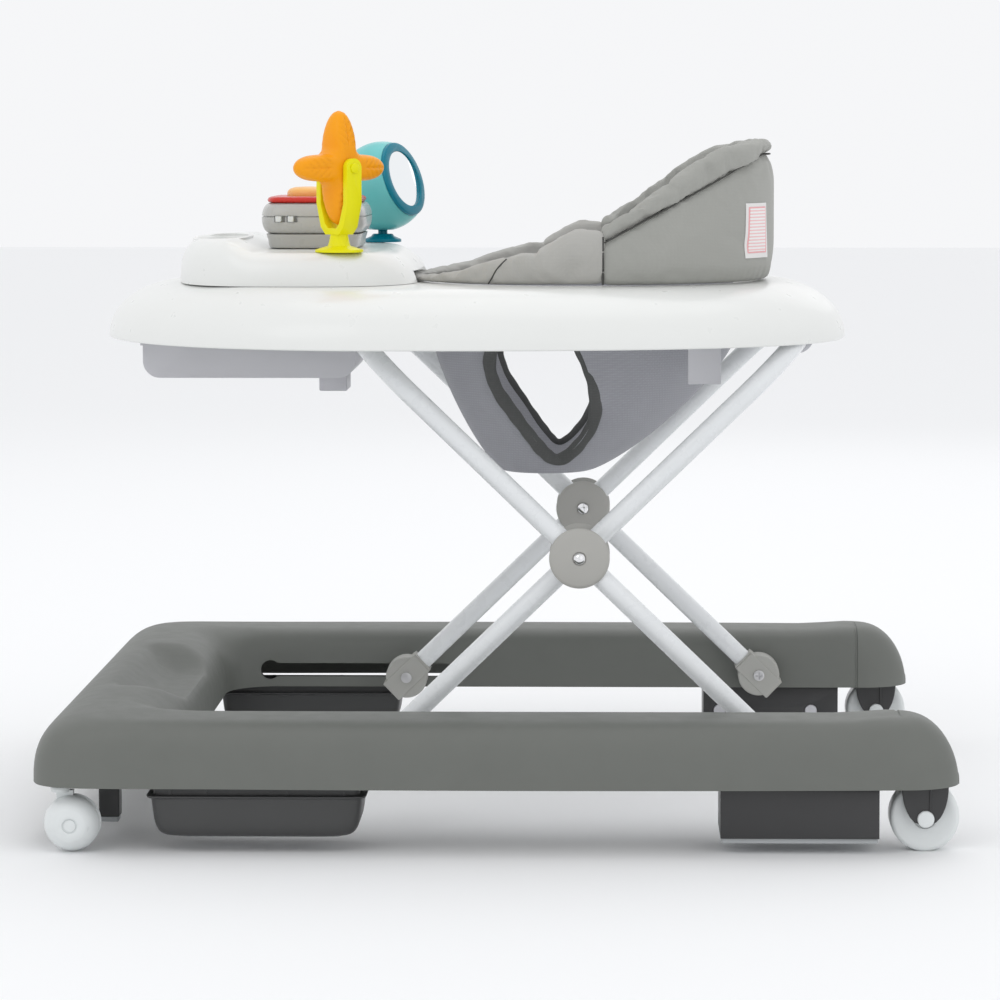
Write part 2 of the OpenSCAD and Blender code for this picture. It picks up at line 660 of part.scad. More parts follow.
module channel_housing() color([0.68, 0.68, 0.71]) difference() {
    union() {
        channel_block(0, channel_w / 2);
        span([channel_front - 2, -channel_w / 2, tray_bottom - 7],
            [channel_front + 10, channel_w / 2, tray_bottom]);
        for (side = [-1, 1]) translate([0, side * (channel_w - rail_t) / 2, 0])
            span([travel_front - tube_r - 5, -rail_t / 2, tray_bottom - 1],
                [rail_rear, rail_t / 2, under_tray - face_gap]);
        for (side = [-1, 1]) translate([0, side * (channel_w / 2 + 7), 0])
            span([travel_front - tube_r - 5, -8, under_tray - 4],
                [rail_rear, 8, under_tray - face_gap]);
    }
    span([channel_front + 3, -channel_w / 2 + rail_t, channel_bottom + 3 + 11],
        [channel_rear - 3, channel_w / 2 - rail_t, under_tray + 5]);
    channel_block(3, channel_w / 2 - rail_t);
    span([travel_front - tube_r - 2, -channel_w, rear_top[1] - tube_r - 0.6],
        [front_top[0] + tube_r + 2, channel_w, rear_top[1] + tube_r + 0.6]);
    span([latch_x - latch_neck[0] / 2 - 0.5, -latch_neck[1] / 2 - 0.5, channel_bottom - 1],
        [latch_x + latch_neck[0] / 2 + 0.5, latch_neck[1] / 2 + 0.5, channel_bottom + 5]);
    for (x = [travel_front, front_top[0]], side = [-1, 1])
        translate([x, side * (channel_w / 2 + 8), under_tray - 10]) cylinder(r = 2.2, h = 20);
}
module tray_screws() color([0.3, 0.3, 0.31])
    for (x = [travel_front, front_top[0]], side = [-1, 1])
        translate([x, side * (channel_w / 2 + 8), 0]) {
            translate([0, 0, under_tray - 6.3]) cylinder(r = 4, h = 2);
            translate([0, 0, under_tray - 5]) cylinder(r = 2, h = 5 - face_gap);
        }
latch_grip = [23, 44, 13];
module height_latch() color([0.64, 0.64, 0.68]) {
    z = channel_bottom - face_gap;
    span([latch_x - latch_grip[0] / 2, -latch_grip[1] / 2, z - latch_grip[2]],
        [latch_x + latch_grip[0] / 2, latch_grip[1] / 2, z]);
    span([latch_x - latch_neck[0] / 2, -latch_neck[1] / 2, z - 1],
        [latch_x + latch_neck[0] / 2, latch_neck[1] / 2, channel_bottom + 3 + latch_travel + 3]);
    span([latch_x - latch_neck[0] / 2, -latch_neck[1] / 2 - 3, channel_bottom + 3.5 + latch_travel],
        [latch_x + latch_neck[0] / 2, latch_neck[1] / 2 + 3, channel_bottom + 6 + latch_travel]);
}

clip_w = 26;
clip_y = leg_b_y - bend_r - clip_w - 5;
module rear_bar_clips() color([0.88, 0.89, 0.89]) both_sides() difference() {
    union() {
        y_rod(rear_top[0], rear_top[1], tube_r + 5, clip_y, clip_y + clip_w);
        span([rear_top[0] - tube_r - 5, clip_y, rear_top[1]],
            [rear_top[0] + tube_r, clip_y + clip_w, tray_top - 19]);
        span([rear_top[0] - 40, clip_y, tray_top - 27], [rear_top[0] + 2, clip_y + clip_w, tray_top - 19]);
        span([rear_top[0] - 40, clip_y, tray_top - 27],
            [rear_top[0] - 32, clip_y + clip_w, under_tray - 2 * face_gap]);
    }
    y_rod(rear_top[0], rear_top[1], tube_r + run_fit, clip_y - 5, clip_y + 40);
}

tab_x = seat_x + hole_a * 0.7;
module rear_rest_tab() color([0.85, 0.85, 0.86]) both_sides() {
    span([tab_x - 13, seat_w / 2 - 9, tray_bottom - 32], [tab_x + 13, seat_w / 2 - 5, under_tray - 2 * face_gap]);
}

// ---- Seat ----

// The padded wall round the opening, built as rings across it at each angle round the seat.
back_start = -86;
band_gap = 1.2;
function seat_edge(angle, inset) = [seat_x + (seat_l / 2 - inset) * sgn_pow(cos(angle), 2 / seat_n),
    (seat_w / 2 - inset) * sgn_pow(sin(angle), 2 / seat_n)];
pad_low = tray_top + face_gap;
function back_top(x) = let (x0 = seat_x, x1 = seat_x + seat_l * 0.42)
    pad_low + mix(band_h - 8, back_h, clamp01((x - x0) / (x1 - x0)));
function band_top(x) = let (x0 = seat_x - seat_l / 2)
    pad_low + mix(6, band_h, pow(clamp01((x - x0) / (seat_l * 0.48)), 1.6));
function pad_ring(angle, top) = let (
    o = seat_edge(angle, 0.5), i = seat_edge(angle, pad_t), o1 = mix(o, i, 0.2), i1 = mix(o, i, 0.8),
    round = min(6, (top - pad_low) / 2))
    [[i[0], i[1], pad_low], [o[0], o[1], pad_low], [o[0], o[1], top - round], [o1[0], o1[1], top],
     [i1[0], i1[1], top], [i[0], i[1], top - round]];
module seat_back_pad() color([0.6, 0.6, 0.58])
    skin([for (i = [0:24]) let (a = mix(-back_start, back_start, i / 24))
        pad_ring(a, back_top(seat_edge(a, 0)[0]))]);
module seat_front_band() color([0.6, 0.6, 0.58])
    skin([for (i = [0:24]) let (a = mix(360 + back_start - 1, -back_start + 1, i / 24))
        pad_ring(a, band_top(seat_edge(a, 0)[0]))]);

// The sling hangs through the opening as a bucket with two leg holes.
sling_bottom = tray_top - sling_drop;
sling_low_x = seat_x - 34;
function sling_ring(t, gap) = let (s = pow(sin(90 * t), 0.8))
    oval(mix(sling_low_x, seat_x, s), mix(40, hole_a - 0.6, s) - gap, mix(60, hole_b - 0.6, s) - gap, seat_n,
        mix(sling_bottom, tray_top - 1, t) , seat_points);
sling_steps = 10;
module sling_bucket(gap, low, high) translate([0, 0, low])
    skin([for (i = [0:sling_steps]) let (r = sling_ring(i / sling_steps, gap))
        i == sling_steps ? [for (p = r) [p[0], p[1], p[2] + high]] : r]);
module sling_wall(out, in) difference() {
    sling_bucket(-out, 0, 0);
    sling_bucket(in, in, 5);
}
leg_hole_x = seat_x - 36;
leg_hole_z = sling_bottom + 68;
module leg_hole(grow) translate([leg_hole_x, base_w / 2, leg_hole_z]) rotate([90, 0, 0])
    linear_extrude(base_w) flat(oval(0, 42 + grow, 56 + grow, 2.2, 0, 40));
binding_w = 8;
module seat_sling() color([0.67, 0.68, 0.7]) resize([0, 0, sling_drop - 1]) difference() {
    sling_wall(0, sling_t);
    leg_hole(binding_w + face_gap);
}
module leg_hole_binding() color([0.36, 0.36, 0.36]) both_sides() intersection() {
    difference() {
        intersection() {
            sling_wall(0, sling_t);
            leg_hole(binding_w);
        }
        leg_hole(0);
    }
    span([0 - base_l, 2, 0], [base_l, base_w, 2 * tray_top]);
}

label_angle = -29;
module seat_label() color([0.93, 0.85, 0.85]) {
    p = seat_edge(label_angle, 0.2);
    q = seat_edge(label_angle + 2, 0.2);
    turn = atan2(q[1] - p[1], q[0] - p[0]);
    translate([p[0], p[1], pad_low + 20]) rotate([0, 0, turn]) translate([-12, -0.7, 0]) cube([24, 0.6, 44]);
}

// ---- Console and toys ----

console_points = 60;
function console_ring(inset, z) = oval(console_x, console_l / 2 - inset, console_w / 2 - inset, 3, z, console_points);
lip_x = console_x - console_l / 2 + 30;
lip_low = [29, 92];
lip_high = [22, 82];
bowl_low = [12, 60];
bowl_high = [19, 74];
bowl_floor = console_top - 10;
module console_outside(gap, low) skin([console_ring(gap, console_low - low), console_ring(gap, console_low + 3),
    console_ring(3 + gap, console_low + console_h * 0.55), console_ring(9 + gap, console_low + console_h * 0.85),
    console_ring(18 + gap, console_low + console_h - 1 - gap)]);
module console_lip(grow) hull() {
    translate([lip_x, 0, console_low + 4]) linear_extrude(4) flat(oval(0, lip_low[0] + grow, lip_low[1] + grow, 3, 0, 40));
    translate([lip_x - 1, 0, console_low + console_h + 6 + grow]) linear_extrude(2)
        flat(oval(0, lip_high[0] + grow, lip_high[1] + grow, 3, 0, 40));
}
module console_bowl(grow) hull() {
    translate([lip_x, 0, bowl_floor - grow]) linear_extrude(1)
        flat(oval(0, bowl_low[0] + grow, bowl_low[1] + grow, 2.4, 0, 40));
    translate([lip_x, 0, console_top + 12]) linear_extrude(1)
        flat(oval(0, bowl_high[0] + grow, bowl_high[1] + grow, 2.4, 0, 40));
}
ball_pin_r = 4;
module console_tray() color([0.93, 0.94, 0.93]) difference() {
    union() {
        difference() {
            union() {
                console_outside(0, 0);
                console_lip(0);
            }
            console_outside(tray_wall, 2);
            console_lip(-tray_wall);
        }
        difference() {
            console_bowl(tray_wall);
            translate([lip_x, 0, console_top + 14]) cube([200, 400, 12], center = true);
        }
    }
    console_bowl(0);
    seat_prism(-1.5, tray_top - 5, pad_low + 9);
}

// The music toy: a lower case, an upper case, a red top plate, a big button and two switches.
case_r = 9;
lower_h = 12;
top_plate_t = 5;
module rounded_plate(l, w, r, z0, z1) translate([toy_x, 0, z0]) linear_extrude(z1 - z0) {
    for (i = [-1, 1], j = [-1, 1]) translate([i * (l / 2 - r), j * (w / 2 - r)]) circle(r = r);
    square([l, w - 2 * r], center = true);
    square([l - 2 * r, w], center = true);
}
case_split = toy_z + lower_h;
case_top = toy_z + toy_h - top_plate_t;
module toy_lower_case() color([0.66, 0.67, 0.67]) difference() {
    union() {
        rounded_plate(toy_l - 10, toy_w - 10, case_r, toy_z, case_split - face_gap);
        rounded_plate(toy_l - 2, toy_w - 2, case_r, case_split - 2, case_split - face_gap);
    }
    rounded_plate(toy_l - 15, toy_w - 15, case_r - 2.5, toy_z + 2.5, case_split + 1);
}
button_x = toy_x - 6;
button_r = 19;
switch_z = case_split + 10;
switch_h = 4.5;
switch_w = 4.5;
switch_xs = [toy_x - toy_l / 2 + 14, toy_x - toy_l / 2 + 24];
module toy_upper_case() color([0.7, 0.71, 0.7]) difference() {
    rounded_plate(toy_l, toy_w, case_r, case_split, case_top);
    rounded_plate(toy_l - 5, toy_w - 5, case_r - 2.5, case_split - 1, case_top - 2.5);
    translate([button_x, 0, case_top - 5]) cylinder(r = button_r - 4, h = 10);
    for (x = switch_xs)
        span([x - face_gap, -toy_w, switch_z - face_gap],
            [x + switch_w + switch_travel + face_gap, -toy_w / 2 + 6, switch_z + switch_h + face_gap]);
}
module toy_top_plate() color([0.8, 0.2, 0.17]) difference() {
    rounded_plate(toy_l - 4, toy_w - 4, case_r, case_top + face_gap, case_top + top_plate_t);
    translate([button_x, 0, case_top - 5]) cylinder(r = button_r + 0.5, h = 20);
}
button_low = case_top + face_gap + button_travel;
module toy_button() color([0.96, 0.72, 0.45]) translate([button_x, 0, 0]) {
    translate([0, 0, button_low]) rotate_extrude()
        polygon([[0, 0], [button_r, 0], [button_r, 5], [button_r - 2, 7.5], [button_r - 7, 9], [0, 9.5]]);
    translate([0, 0, case_top - 6]) cylinder(r = button_r - 5, h = button_low - case_top + 7);
    translate([0, 0, case_top - 2.5 - button_travel - 3]) cylinder(r = button_r - 2, h = 2.5);
}
module toy_switch(x) color([0.95, 0.95, 0.95]) {
    span([x, -toy_w / 2 - 1.5, switch_z], [x + switch_w, -toy_w / 2 + 4, switch_z + switch_h]);
    span([x - 0.5, -toy_w / 2 + 3, switch_z - 1.5], [x + switch_w + 0.5, -toy_w / 2 + 5, switch_z + switch_h + 1.5]);
}
module toy_switch_front() toy_switch(switch_xs[0]);
module toy_switch_rear() toy_switch(switch_xs[1]);

board_z = toy_z + lower_h - 2;
module toy_circuit_board() color([0.1, 0.4, 0.22]) {
    rounded_plate(toy_l - 22, toy_w - 22, 3, board_z, board_z + 1.6);
    for (x = [-22, 22], y = [-40, 40])
        translate([toy_x + x, y, toy_z + 2.5 + 0.1]) cylinder(d = 5, h = board_z - toy_z - 2.5);
}
module toy_speaker() color([0.15, 0.15, 0.15]) translate([toy_x + 22, 34, board_z + 1.6 + face_gap])
    cylinder(r = 14, h = 6);
module toy_batteries() color([0.2, 0.25, 0.3])
    for (y = [-38, -25]) translate([toy_x - 24, y, board_z + 1.6 + 6.6]) rotate([0, 90, 0]) cylinder(r = 6, h = 44);

// The yellow post holds the star on a pin between two arms, turned halfway between front and side.
star_turn = -45;
arm_gap = star_t + 1.2;
arm_t = 5;
arm_w = 15;
module at_star() translate([star_x, star_y, star_z]) rotate([0, 0, star_turn]) children();
post_low = console_top + face_gap;
fork_floor = -star_r - 2.5;
arm_straight = 28;
module fork_outline() {
    half = arm_gap / 2;
    outer = [[half + arm_t, 0], [half + arm_t, -arm_straight], [half, fork_floor + 1], [8, fork_floor - 5]];
    inner = [[5, fork_floor], [half - 5, fork_floor + 4], [half, -arm_straight], [half, 0]];
    difference() {
        polygon(concat(outer, [for (i = [3:-1:0]) [-outer[i][0], outer[i][1]]]));
        polygon(concat(inner, [for (i = [3:-1:0]) [-inner[i][0], inner[i][1]]]));
        translate([-half, -eps]) square([2 * half, 1]);
    }
}
module star_post() color([0.88, 0.87, 0.15]) difference() {
    union() {
        translate([star_x, star_y, post_low]) rotate_extrude() polygon([[0, 0], [19, 0], [19, 2],
            [9, 5], [8, 8], [7, 14], [0, 14]]);
        translate([star_x, star_y, post_low + 10]) cylinder(r = 7, h = star_z + fork_floor - post_low - 13);
        at_star() translate([0, arm_w / 2, 0]) rotate([90, 0, 0]) linear_extrude(arm_w) fork_outline();
        at_star() for (side = [-1, 1]) translate([side * (arm_gap + arm_t) / 2, 0, 0]) rotate([0, 90, 0])
            cylinder(r = arm_w / 2, h = arm_t, center = true);
    }
    at_star() rotate([0, 90, 0]) cylinder(r = star_pin_r, h = 100, center = true);
}
star_pin_r = 2.5;
module star_pin() color([0.9, 0.88, 0.2]) at_star() rotate([0, 90, 0]) {
    cylinder(r = star_pin_r, h = arm_gap + 2 * arm_t, center = true);
    for (side = [-1, 1]) translate([0, 0, side * (arm_gap / 2 + arm_t + 0.8)])
        cylinder(r = 4, h = 1.6, center = true);
}
module star_spinner() color([0.97, 0.65, 0.12]) at_star() difference() {
    union() {
        rotate([0, 90, 0]) cylinder(r = 12, h = star_t, center = true);
        for (k = [0:3]) rotate([90 * k, 0, 0]) hull() {
            rotate([0, 90, 0]) cylinder(r = 13, h = star_t * 0.86, center = true, $fn = hull_fn);
            translate([0, 0, star_r - 8]) scale([1, 1.6, 1]) sphere(r = 8, $fn = 24);
        }
    }
    rotate([0, 90, 0]) cylinder(r = star_pin_r + run_fit, h = 100, center = true);
}

// The mirror ball turns on a short upright pin. Its axis through the mirrors is face_dir.
face_dir = [0.86, -0.41, 0.30];
face_turn = atan2(face_dir[1], face_dir[0]);
face_tilt = acos(face_dir[2] / norm(face_dir));
module at_ball() translate([ball_x, ball_y, ball_z]) children();
module along_face() at_ball() rotate([0, face_tilt, face_turn]) children();
ball_wall_face = ball_face - 2.5;
pin_top = 16 - ball_r;
module ball_stand() color([0.02, 0.5, 0.58]) at_ball() {
    translate([0, 0, console_top + face_gap - ball_z]) rotate_extrude()
        polygon([[0, 0], [16, 0], [16, 2.5], [10, 5], [8.5, 7], [0, 7]]);
    translate([0, 0, console_top + 2 - ball_z]) cylinder(r = ball_pin_r, h = ball_z - console_top - 2 + pin_top);
}
module ball_body() color([0.42, 0.76, 0.75]) difference() {
    along_face() rotate_extrude() intersection() {
        circle(r = ball_r, $fn = 96);
        translate([0, -ball_face + 1]) square([ball_r, 2 * ball_face - 2]);
    }
    at_ball() translate([0, 0, -ball_r - 5]) cylinder(r = ball_pin_r + run_fit, h = pin_top + ball_r + 5 + face_gap);
    at_ball() translate([0, 0, -ball_r - 5]) cylinder(r = 9.5, h = 7);
    for (flip = [0, 180]) along_face() rotate([flip, 0, 0]) translate([0, 0, ball_wall_face - 0.5])
        cylinder(r = mirror_d / 2 + 2, h = 10);
}
ring_r = sqrt(ball_r * ball_r - ball_face * ball_face) + 0.8;
module ball_rings() color([0.0, 0.49, 0.58]) for (flip = [0, 180]) along_face() rotate([flip, 0, 0])
    rotate_extrude() polygon([[mirror_d / 2 + 0.15, ball_face - 1 + 0.2], [ring_r - 0.3, ball_face - 1 + 0.2],
        [ring_r - 0.8, ball_face + 1.4], [ring_r - 3, ball_face + 2.2], [mirror_d / 2 + 0.15, ball_face + 2.2]]);
module ball_mirrors() color([0.9, 0.92, 0.94]) for (flip = [0, 180]) along_face() rotate([flip, 0, 0])
    translate([0, 0, ball_wall_face]) cylinder(r = mirror_d / 2, h = ball_face - ball_wall_face + 1.4);

base_shell();
slot_tracks();
leg_spacers();
rear_pivot_screws();
front_stop_tubs();
front_stop_pads();
rear_stop_blocks();
rear_stop_pads();
rear_stop_plugs();
front_feet();
front_foot_tips();
rear_wheel_brackets();
rear_wheel_axles();
rear_wheel_left();
rear_wheel_right();
caster_sockets();
caster_fork_left();
caster_fork_right();
caster_wheel_left();
caster_wheel_right();
leg_a_tube();
leg_a_fittings();
outer_cover_discs();
centre_rivets();
leg_b_tube();
leg_b_fittings();
slider_pins();
slider_spacers();
inner_cover_discs();
tray_shell();
channel_housing();
rear_bar_clips();
tray_screws();
height_latch();
rear_rest_tab();
seat_back_pad();
seat_front_band();
seat_sling();
leg_hole_binding();
seat_label();
console_tray();
toy_lower_case();
toy_upper_case();
toy_top_plate();
toy_button();
toy_switch_front();
toy_switch_rear();
toy_circuit_board();
toy_speaker();
toy_batteries();
star_post();
star_pin();
star_spinner();
ball_stand();
ball_body();
ball_rings();
ball_mirrors();
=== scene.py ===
# %% [markdown]
# # A baby walker, from bare frame to finished surfaces
# The walker is a U-shaped moulded base on wheels, two crossed tube frames that fold, and a tray that
# carries a padded seat, a fabric sling and some toys. Sizes and joints are already settled in the
# frame, so every piece here reads its place from the frame and only adds the look.
# %% Load the frame and its size
import math
import bmesh
import bpy
import numpy as np
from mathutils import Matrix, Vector, noise
from mathutils.bvhtree import BVHTree


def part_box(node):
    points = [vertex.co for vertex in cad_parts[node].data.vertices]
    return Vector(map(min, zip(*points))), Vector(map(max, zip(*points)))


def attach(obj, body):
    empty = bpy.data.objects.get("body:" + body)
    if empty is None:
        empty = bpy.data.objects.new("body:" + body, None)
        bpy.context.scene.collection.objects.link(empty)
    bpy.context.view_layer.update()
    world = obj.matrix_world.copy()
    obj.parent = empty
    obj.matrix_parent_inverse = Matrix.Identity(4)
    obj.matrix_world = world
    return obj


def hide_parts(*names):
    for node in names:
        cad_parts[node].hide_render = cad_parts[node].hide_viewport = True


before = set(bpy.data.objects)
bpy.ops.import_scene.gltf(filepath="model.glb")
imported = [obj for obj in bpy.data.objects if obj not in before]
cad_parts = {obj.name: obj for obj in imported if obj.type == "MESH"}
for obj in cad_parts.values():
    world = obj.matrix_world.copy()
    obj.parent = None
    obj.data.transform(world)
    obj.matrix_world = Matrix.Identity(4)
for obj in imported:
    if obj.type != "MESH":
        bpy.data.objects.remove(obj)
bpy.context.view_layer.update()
MM = 1000.0


def corners(node):
    """Lowest and highest corner of a frame node, in millimetres."""
    low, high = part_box(node)
    return np.array(low) * MM, np.array(high) * MM


def middle(node):
    low, high = corners(node)
    return (low + high) / 2


# %% [markdown]
# ## Shader maths that reads as Python
# A node tree soon turns into a tangle of Math nodes. A small class wraps a socket and overloads the
# operators, so a finish is written as an expression, and each operator adds its own Math node.
# %% Wires and finishes
class Wire:
    """A socket of numbers, which adds Math nodes as it meets operators."""

    def __init__(self, finish, socket):
        self.finish = finish
        self.socket = socket

    def math(self, operation, first, second):
        return self.finish.node("ShaderNodeMath", {"operation": operation}, {0: first, 1: second})[0]

    def __add__(self, other):
        return self.math("ADD", self, other)

    def __sub__(self, other):
        return self.math("SUBTRACT", self, other)

    def __rsub__(self, other):
        return self.math("SUBTRACT", other, self)

    def __mul__(self, other):
        return self.math("MULTIPLY", self, other)

    def __pow__(self, other):
        return self.math("POWER", self, other)

    def __gt__(self, other):
        return self.math("GREATER_THAN", self, other)

    __radd__ = __add__
    __rmul__ = __mul__


class Finish:
    """A material: a Principled shader with its fixed values set, and wires for what varies."""

    def __init__(self, name, colour, **fixed):
        self.material = bpy.data.materials.new(name)
        self.material.use_nodes = True
        self.tree = self.material.node_tree
        self.shader = self.tree.nodes["Principled BSDF"]
        self.colour = (*colour, 1.0)
        self.material.diffuse_color = self.colour
        self.fix("Base Color", self.colour)
        for key, value in fixed.items():
            self.fix(key.replace("_", " ").title().replace("Ior", "IOR"), value)
        self.place = self.node("ShaderNodeTexCoord", {}, {})["Object"]

    def fix(self, name, value):
        self.shader.inputs[name].default_value = value

    def feed(self, name, wire):
        self.tree.links.new(wire.socket, self.shader.inputs[name])

    def node(self, kind, settings, values):
        """Adds a node: its settings first, then its sockets' values or links. Returns its wires."""
        made = self.tree.nodes.new(kind)
        for key, value in settings.items():
            if key == "stops":
                for index, (at, shade) in enumerate(value):
                    stop = made.color_ramp.elements[index] if index < 2 else made.color_ramp.elements.new(at)
                    stop.position = at
                    stop.color = shade
            else:
                setattr(made, key, value)
        for key, value in values.items():
            if isinstance(value, Wire):
                self.tree.links.new(value.socket, made.inputs[key])
            else:
                made.inputs[key].default_value = value
        return Outputs(self, made)

    def noise(self, size, detail=2.0, stretch=(1.0, 1.0, 1.0)):
        """Noise from 0 to 1 with features of about that size in millimetres."""
        where = self.node("ShaderNodeMapping", {}, {"Vector": self.place, "Scale": stretch})["Vector"]
        return self.node("ShaderNodeTexNoise", {},
            {"Vector": where, "Scale": MM / size, "Detail": detail})["Fac"]

    def wave(self, size, direction, distortion=0.0):
        """Ridges along one axis, from 0 to 1, that size in millimetres from crest to crest."""
        return self.node("ShaderNodeTexWave", {"bands_direction": direction},
            {"Vector": self.place, "Scale": MM / size / 20 * 2 * math.pi, "Distortion": distortion})["Fac"]

    def tint(self, factor, light):
        """Mixes the finish's colour towards another by a wire."""
        return self.node("ShaderNodeMix", {"data_type": "RGBA"},
            {0: factor, 6: self.colour, 7: (*light, 1.0)})[2]

    def bump(self, height, strength, depth=0.0002):
        self.feed("Normal", self.node("ShaderNodeBump", {},
            {"Height": height, "Strength": strength, "Distance": depth})["Normal"])


class Outputs:
    """A node's outputs as wires, by name or number."""

    def __init__(self, finish, made):
        self.finish = finish
        self.made = made

    def __getitem__(self, key):
        return Wire(self.finish, self.made.outputs[key])


def moulded(name, colour, roughness, grain=1.2, depth=0.00012, shade=0.86, coat=0.0, shine=0.5):
    """Moulded plastic: a fine grain, a little mottling in the colour and some handling in the gloss."""
    finish = Finish(name, colour, roughness=roughness, coat_weight=coat, coat_roughness=0.12)
    finish.fix("Specular IOR Level", shine)
    mottle = finish.noise(45, 3.0)
    rubbed = finish.noise(14, 4.0)
    darker = tuple(c * shade for c in colour)
    finish.feed("Base Color", finish.tint(mottle * 0.55 + rubbed * 0.25 - 0.12, darker))
    finish.feed("Roughness", rubbed * 0.14 + (roughness - 0.07))
    if depth:
        finish.bump(finish.noise(grain, 2.0), 0.35, depth)
    return finish.material


print("shader helpers ready")

# %% [markdown]
# ## Plastics, paint and metal
# Each plastic differs in three ways: its colour, how coarse its mould texture is and how it shines.
# The base is a matt textured grey, the tray a smooth gloss white, and the toys are bright and glossy.
# %% Mix the hard finishes
base_grey = moulded("base_grey_plastic", (0.148, 0.156, 0.142), 0.52, 0.9, 0.00016)
stopper_dark = moulded("stopper_dark_plastic", (0.052, 0.053, 0.053), 0.42, 1.0)
block_dark = moulded("block_dark_plastic", (0.036, 0.036, 0.037), 0.38, 1.0)
strip_rubber = moulded("strip_rubber", (0.44, 0.46, 0.47), 0.72, 0.7, 0.0002)
tray_white = moulded("tray_white_plastic", (0.80, 0.81, 0.79), 0.30, 6.0, 0, 0.97, 0.2)
wheel_white = moulded("wheel_white_plastic", (0.74, 0.77, 0.77), 0.30, 3.0, 0, 0.95, 0.2)
fitting_grey = moulded("fitting_grey_plastic", (0.41, 0.41, 0.385), 0.46, 0.8, 0.00012, 0.92)
disc_grey = moulded("disc_grey_plastic", (0.42, 0.415, 0.39), 0.42, 0.8, 0.00008, 0.92)
under_grey = moulded("under_tray_plastic", (0.60, 0.60, 0.63), 0.40, 1.0, 0.00008, 0.93)
toy_grey = moulded("toy_grey_plastic", (0.46, 0.46, 0.44), 0.30, 1.5, 0.00004, 0.94, 0.3)
toy_red = moulded("toy_red_plastic", (0.60, 0.03, 0.02), 0.28, 3.0, 0.00002, 0.9, 0.05, 0.3)
toy_peach = moulded("toy_peach_plastic", (0.92, 0.50, 0.15), 0.32, 2.0, 0.00002, 0.93, 0.1, 0.35)
toy_orange = moulded("toy_orange_plastic", (0.96, 0.37, 0.006), 0.38, 1.5, 0.00003, 0.88, 0.0, 0.22)
toy_yellow = moulded("toy_yellow_plastic", (0.84, 0.80, 0.006), 0.34, 2.0, 0.00002, 0.94, 0.0, 0.22)
ball_teal = moulded("ball_teal_plastic", (0.15, 0.57, 0.57), 0.32, 2.5, 0.00002, 0.92, 0.1, 0.35)
ring_teal = moulded("ring_teal_plastic", (0.0, 0.21, 0.30), 0.30, 2.5, 0.00002, 0.88, 0.0, 0.3)
board_green = moulded("board_green", (0.02, 0.12, 0.05), 0.4)
sleeve_blue = moulded("battery_sleeve", (0.05, 0.07, 0.1), 0.35)


def metal(name, colour, roughness, scratch):
    finish = Finish(name, colour, metallic=1.0)
    finish.feed("Roughness", finish.noise(2.0, 3.0, (1, 8, 1)) * scratch + roughness)
    finish.bump(finish.noise(1.2, 2.0), 0.2, 0.00002)
    return finish.material


steel = metal("zinc_steel", (0.62, 0.62, 0.63), 0.26, 0.2)
chrome = metal("rivet_chrome", (0.82, 0.82, 0.83), 0.05, 0.06)
mirror = metal("mirror_film", (0.93, 0.95, 0.96), 0.03, 0.04)
# The slot track is steel darkened far below the other steel, to paint the shade inside the slots.
shaded_track_steel = metal("shaded_track_steel", (0.10, 0.10, 0.105), 0.45, 0.2)


def powder_coat():
    """White paint on tube: gloss with the faint dimples of powder coating."""
    finish = Finish("white_tube_paint", (0.80, 0.82, 0.83), coat_weight=0.5, coat_roughness=0.06)
    finish.feed("Roughness", finish.noise(9, 3.0) * 0.12 + 0.22)
    finish.feed("Base Color", finish.tint(finish.noise(60, 2.0) * 0.5, (0.74, 0.76, 0.78)))
    finish.bump(finish.noise(2.6, 1.0), 0.3, 0.00005)
    return finish.material


tube_white = powder_coat()
print("hard finishes:", len(bpy.data.materials))

# %% [markdown]
# ## Woven cloth
# The seat is a plain-woven polyester with a soft sheen, the sling an open mesh, and the leg holes are
# bound with dark tape. Threads run along the object's own axes, so no unwrapping is needed: crossed
# ridges make the weave, and slow noise paints darker patches on the cloth as the shade of its folds.
# %% Weave the fabrics
def woven(name, colour, thread, strength, sheen, deep=0.7):
    finish = Finish(name, colour, roughness=0.9, sheen_weight=sheen, sheen_roughness=0.45)
    warp = finish.wave(thread, "X") * 0.5 + finish.wave(thread, "Y") * 0.5
    weft = finish.wave(thread, "Z")
    slub = finish.noise(3.5, 3.0, (1, 1, 0.25))
    weave = warp * weft * 0.8 + slub * 0.3
    # Slow noise that paints darker patches on the cloth as painted shade of folds and creases.
    painted_fold_shade = finish.noise(38, 3.0)
    darker = tuple(c * deep for c in colour)
    finish.feed("Base Color", finish.tint(0.62 - weave * 0.5 + painted_fold_shade * 0.28 - 0.16, darker))
    finish.feed("Roughness", slub * 0.12 + 0.80)
    finish.bump(weave, strength, 0.0003)
    return finish.material


seat_cloth = woven("seat_cloth", (0.385, 0.388, 0.362), 1.1, 0.45, 0.15, 0.82)
band_cloth = woven("band_cloth", (0.47, 0.465, 0.44), 1.1, 0.45, 0.15, 0.82)
sling_mesh = woven("sling_mesh", (0.40, 0.405, 0.44), 2.0, 0.7, 0.1, 0.62)
tape_cloth = woven("binding_tape", (0.105, 0.108, 0.106), 1.4, 0.7, 0.1, 0.6)
# The seams are real, but their dark cord is painted shade: it darkens the crevices where the padded panels
# meet.
painted_seam_shade = woven("seam_shade_cloth", (0.075, 0.075, 0.07), 0.8, 0.5, 0.0)


def care_label():
    """A blank care label: a white ribbon with a pink frame and plain pink rules."""
    finish = Finish("care_label", (0.86, 0.85, 0.84), roughness=0.75, sheen_weight=0.2)
    rules = finish.wave(2.6, "Z") > 0.62
    finish.feed("Base Color", finish.tint(rules * 0.55, (0.80, 0.25, 0.28)))
    finish.bump(finish.noise(0.8), 0.3, 0.0001)
    return finish.material


label_cloth = care_label()
ribbon = woven("label_ribbon", (0.80, 0.79, 0.78), 0.7, 0.2, 0.1, 0.95)
pink = woven("label_pink", (0.84, 0.42, 0.44), 0.7, 0.2, 0.1, 0.92)
print("fabrics woven")

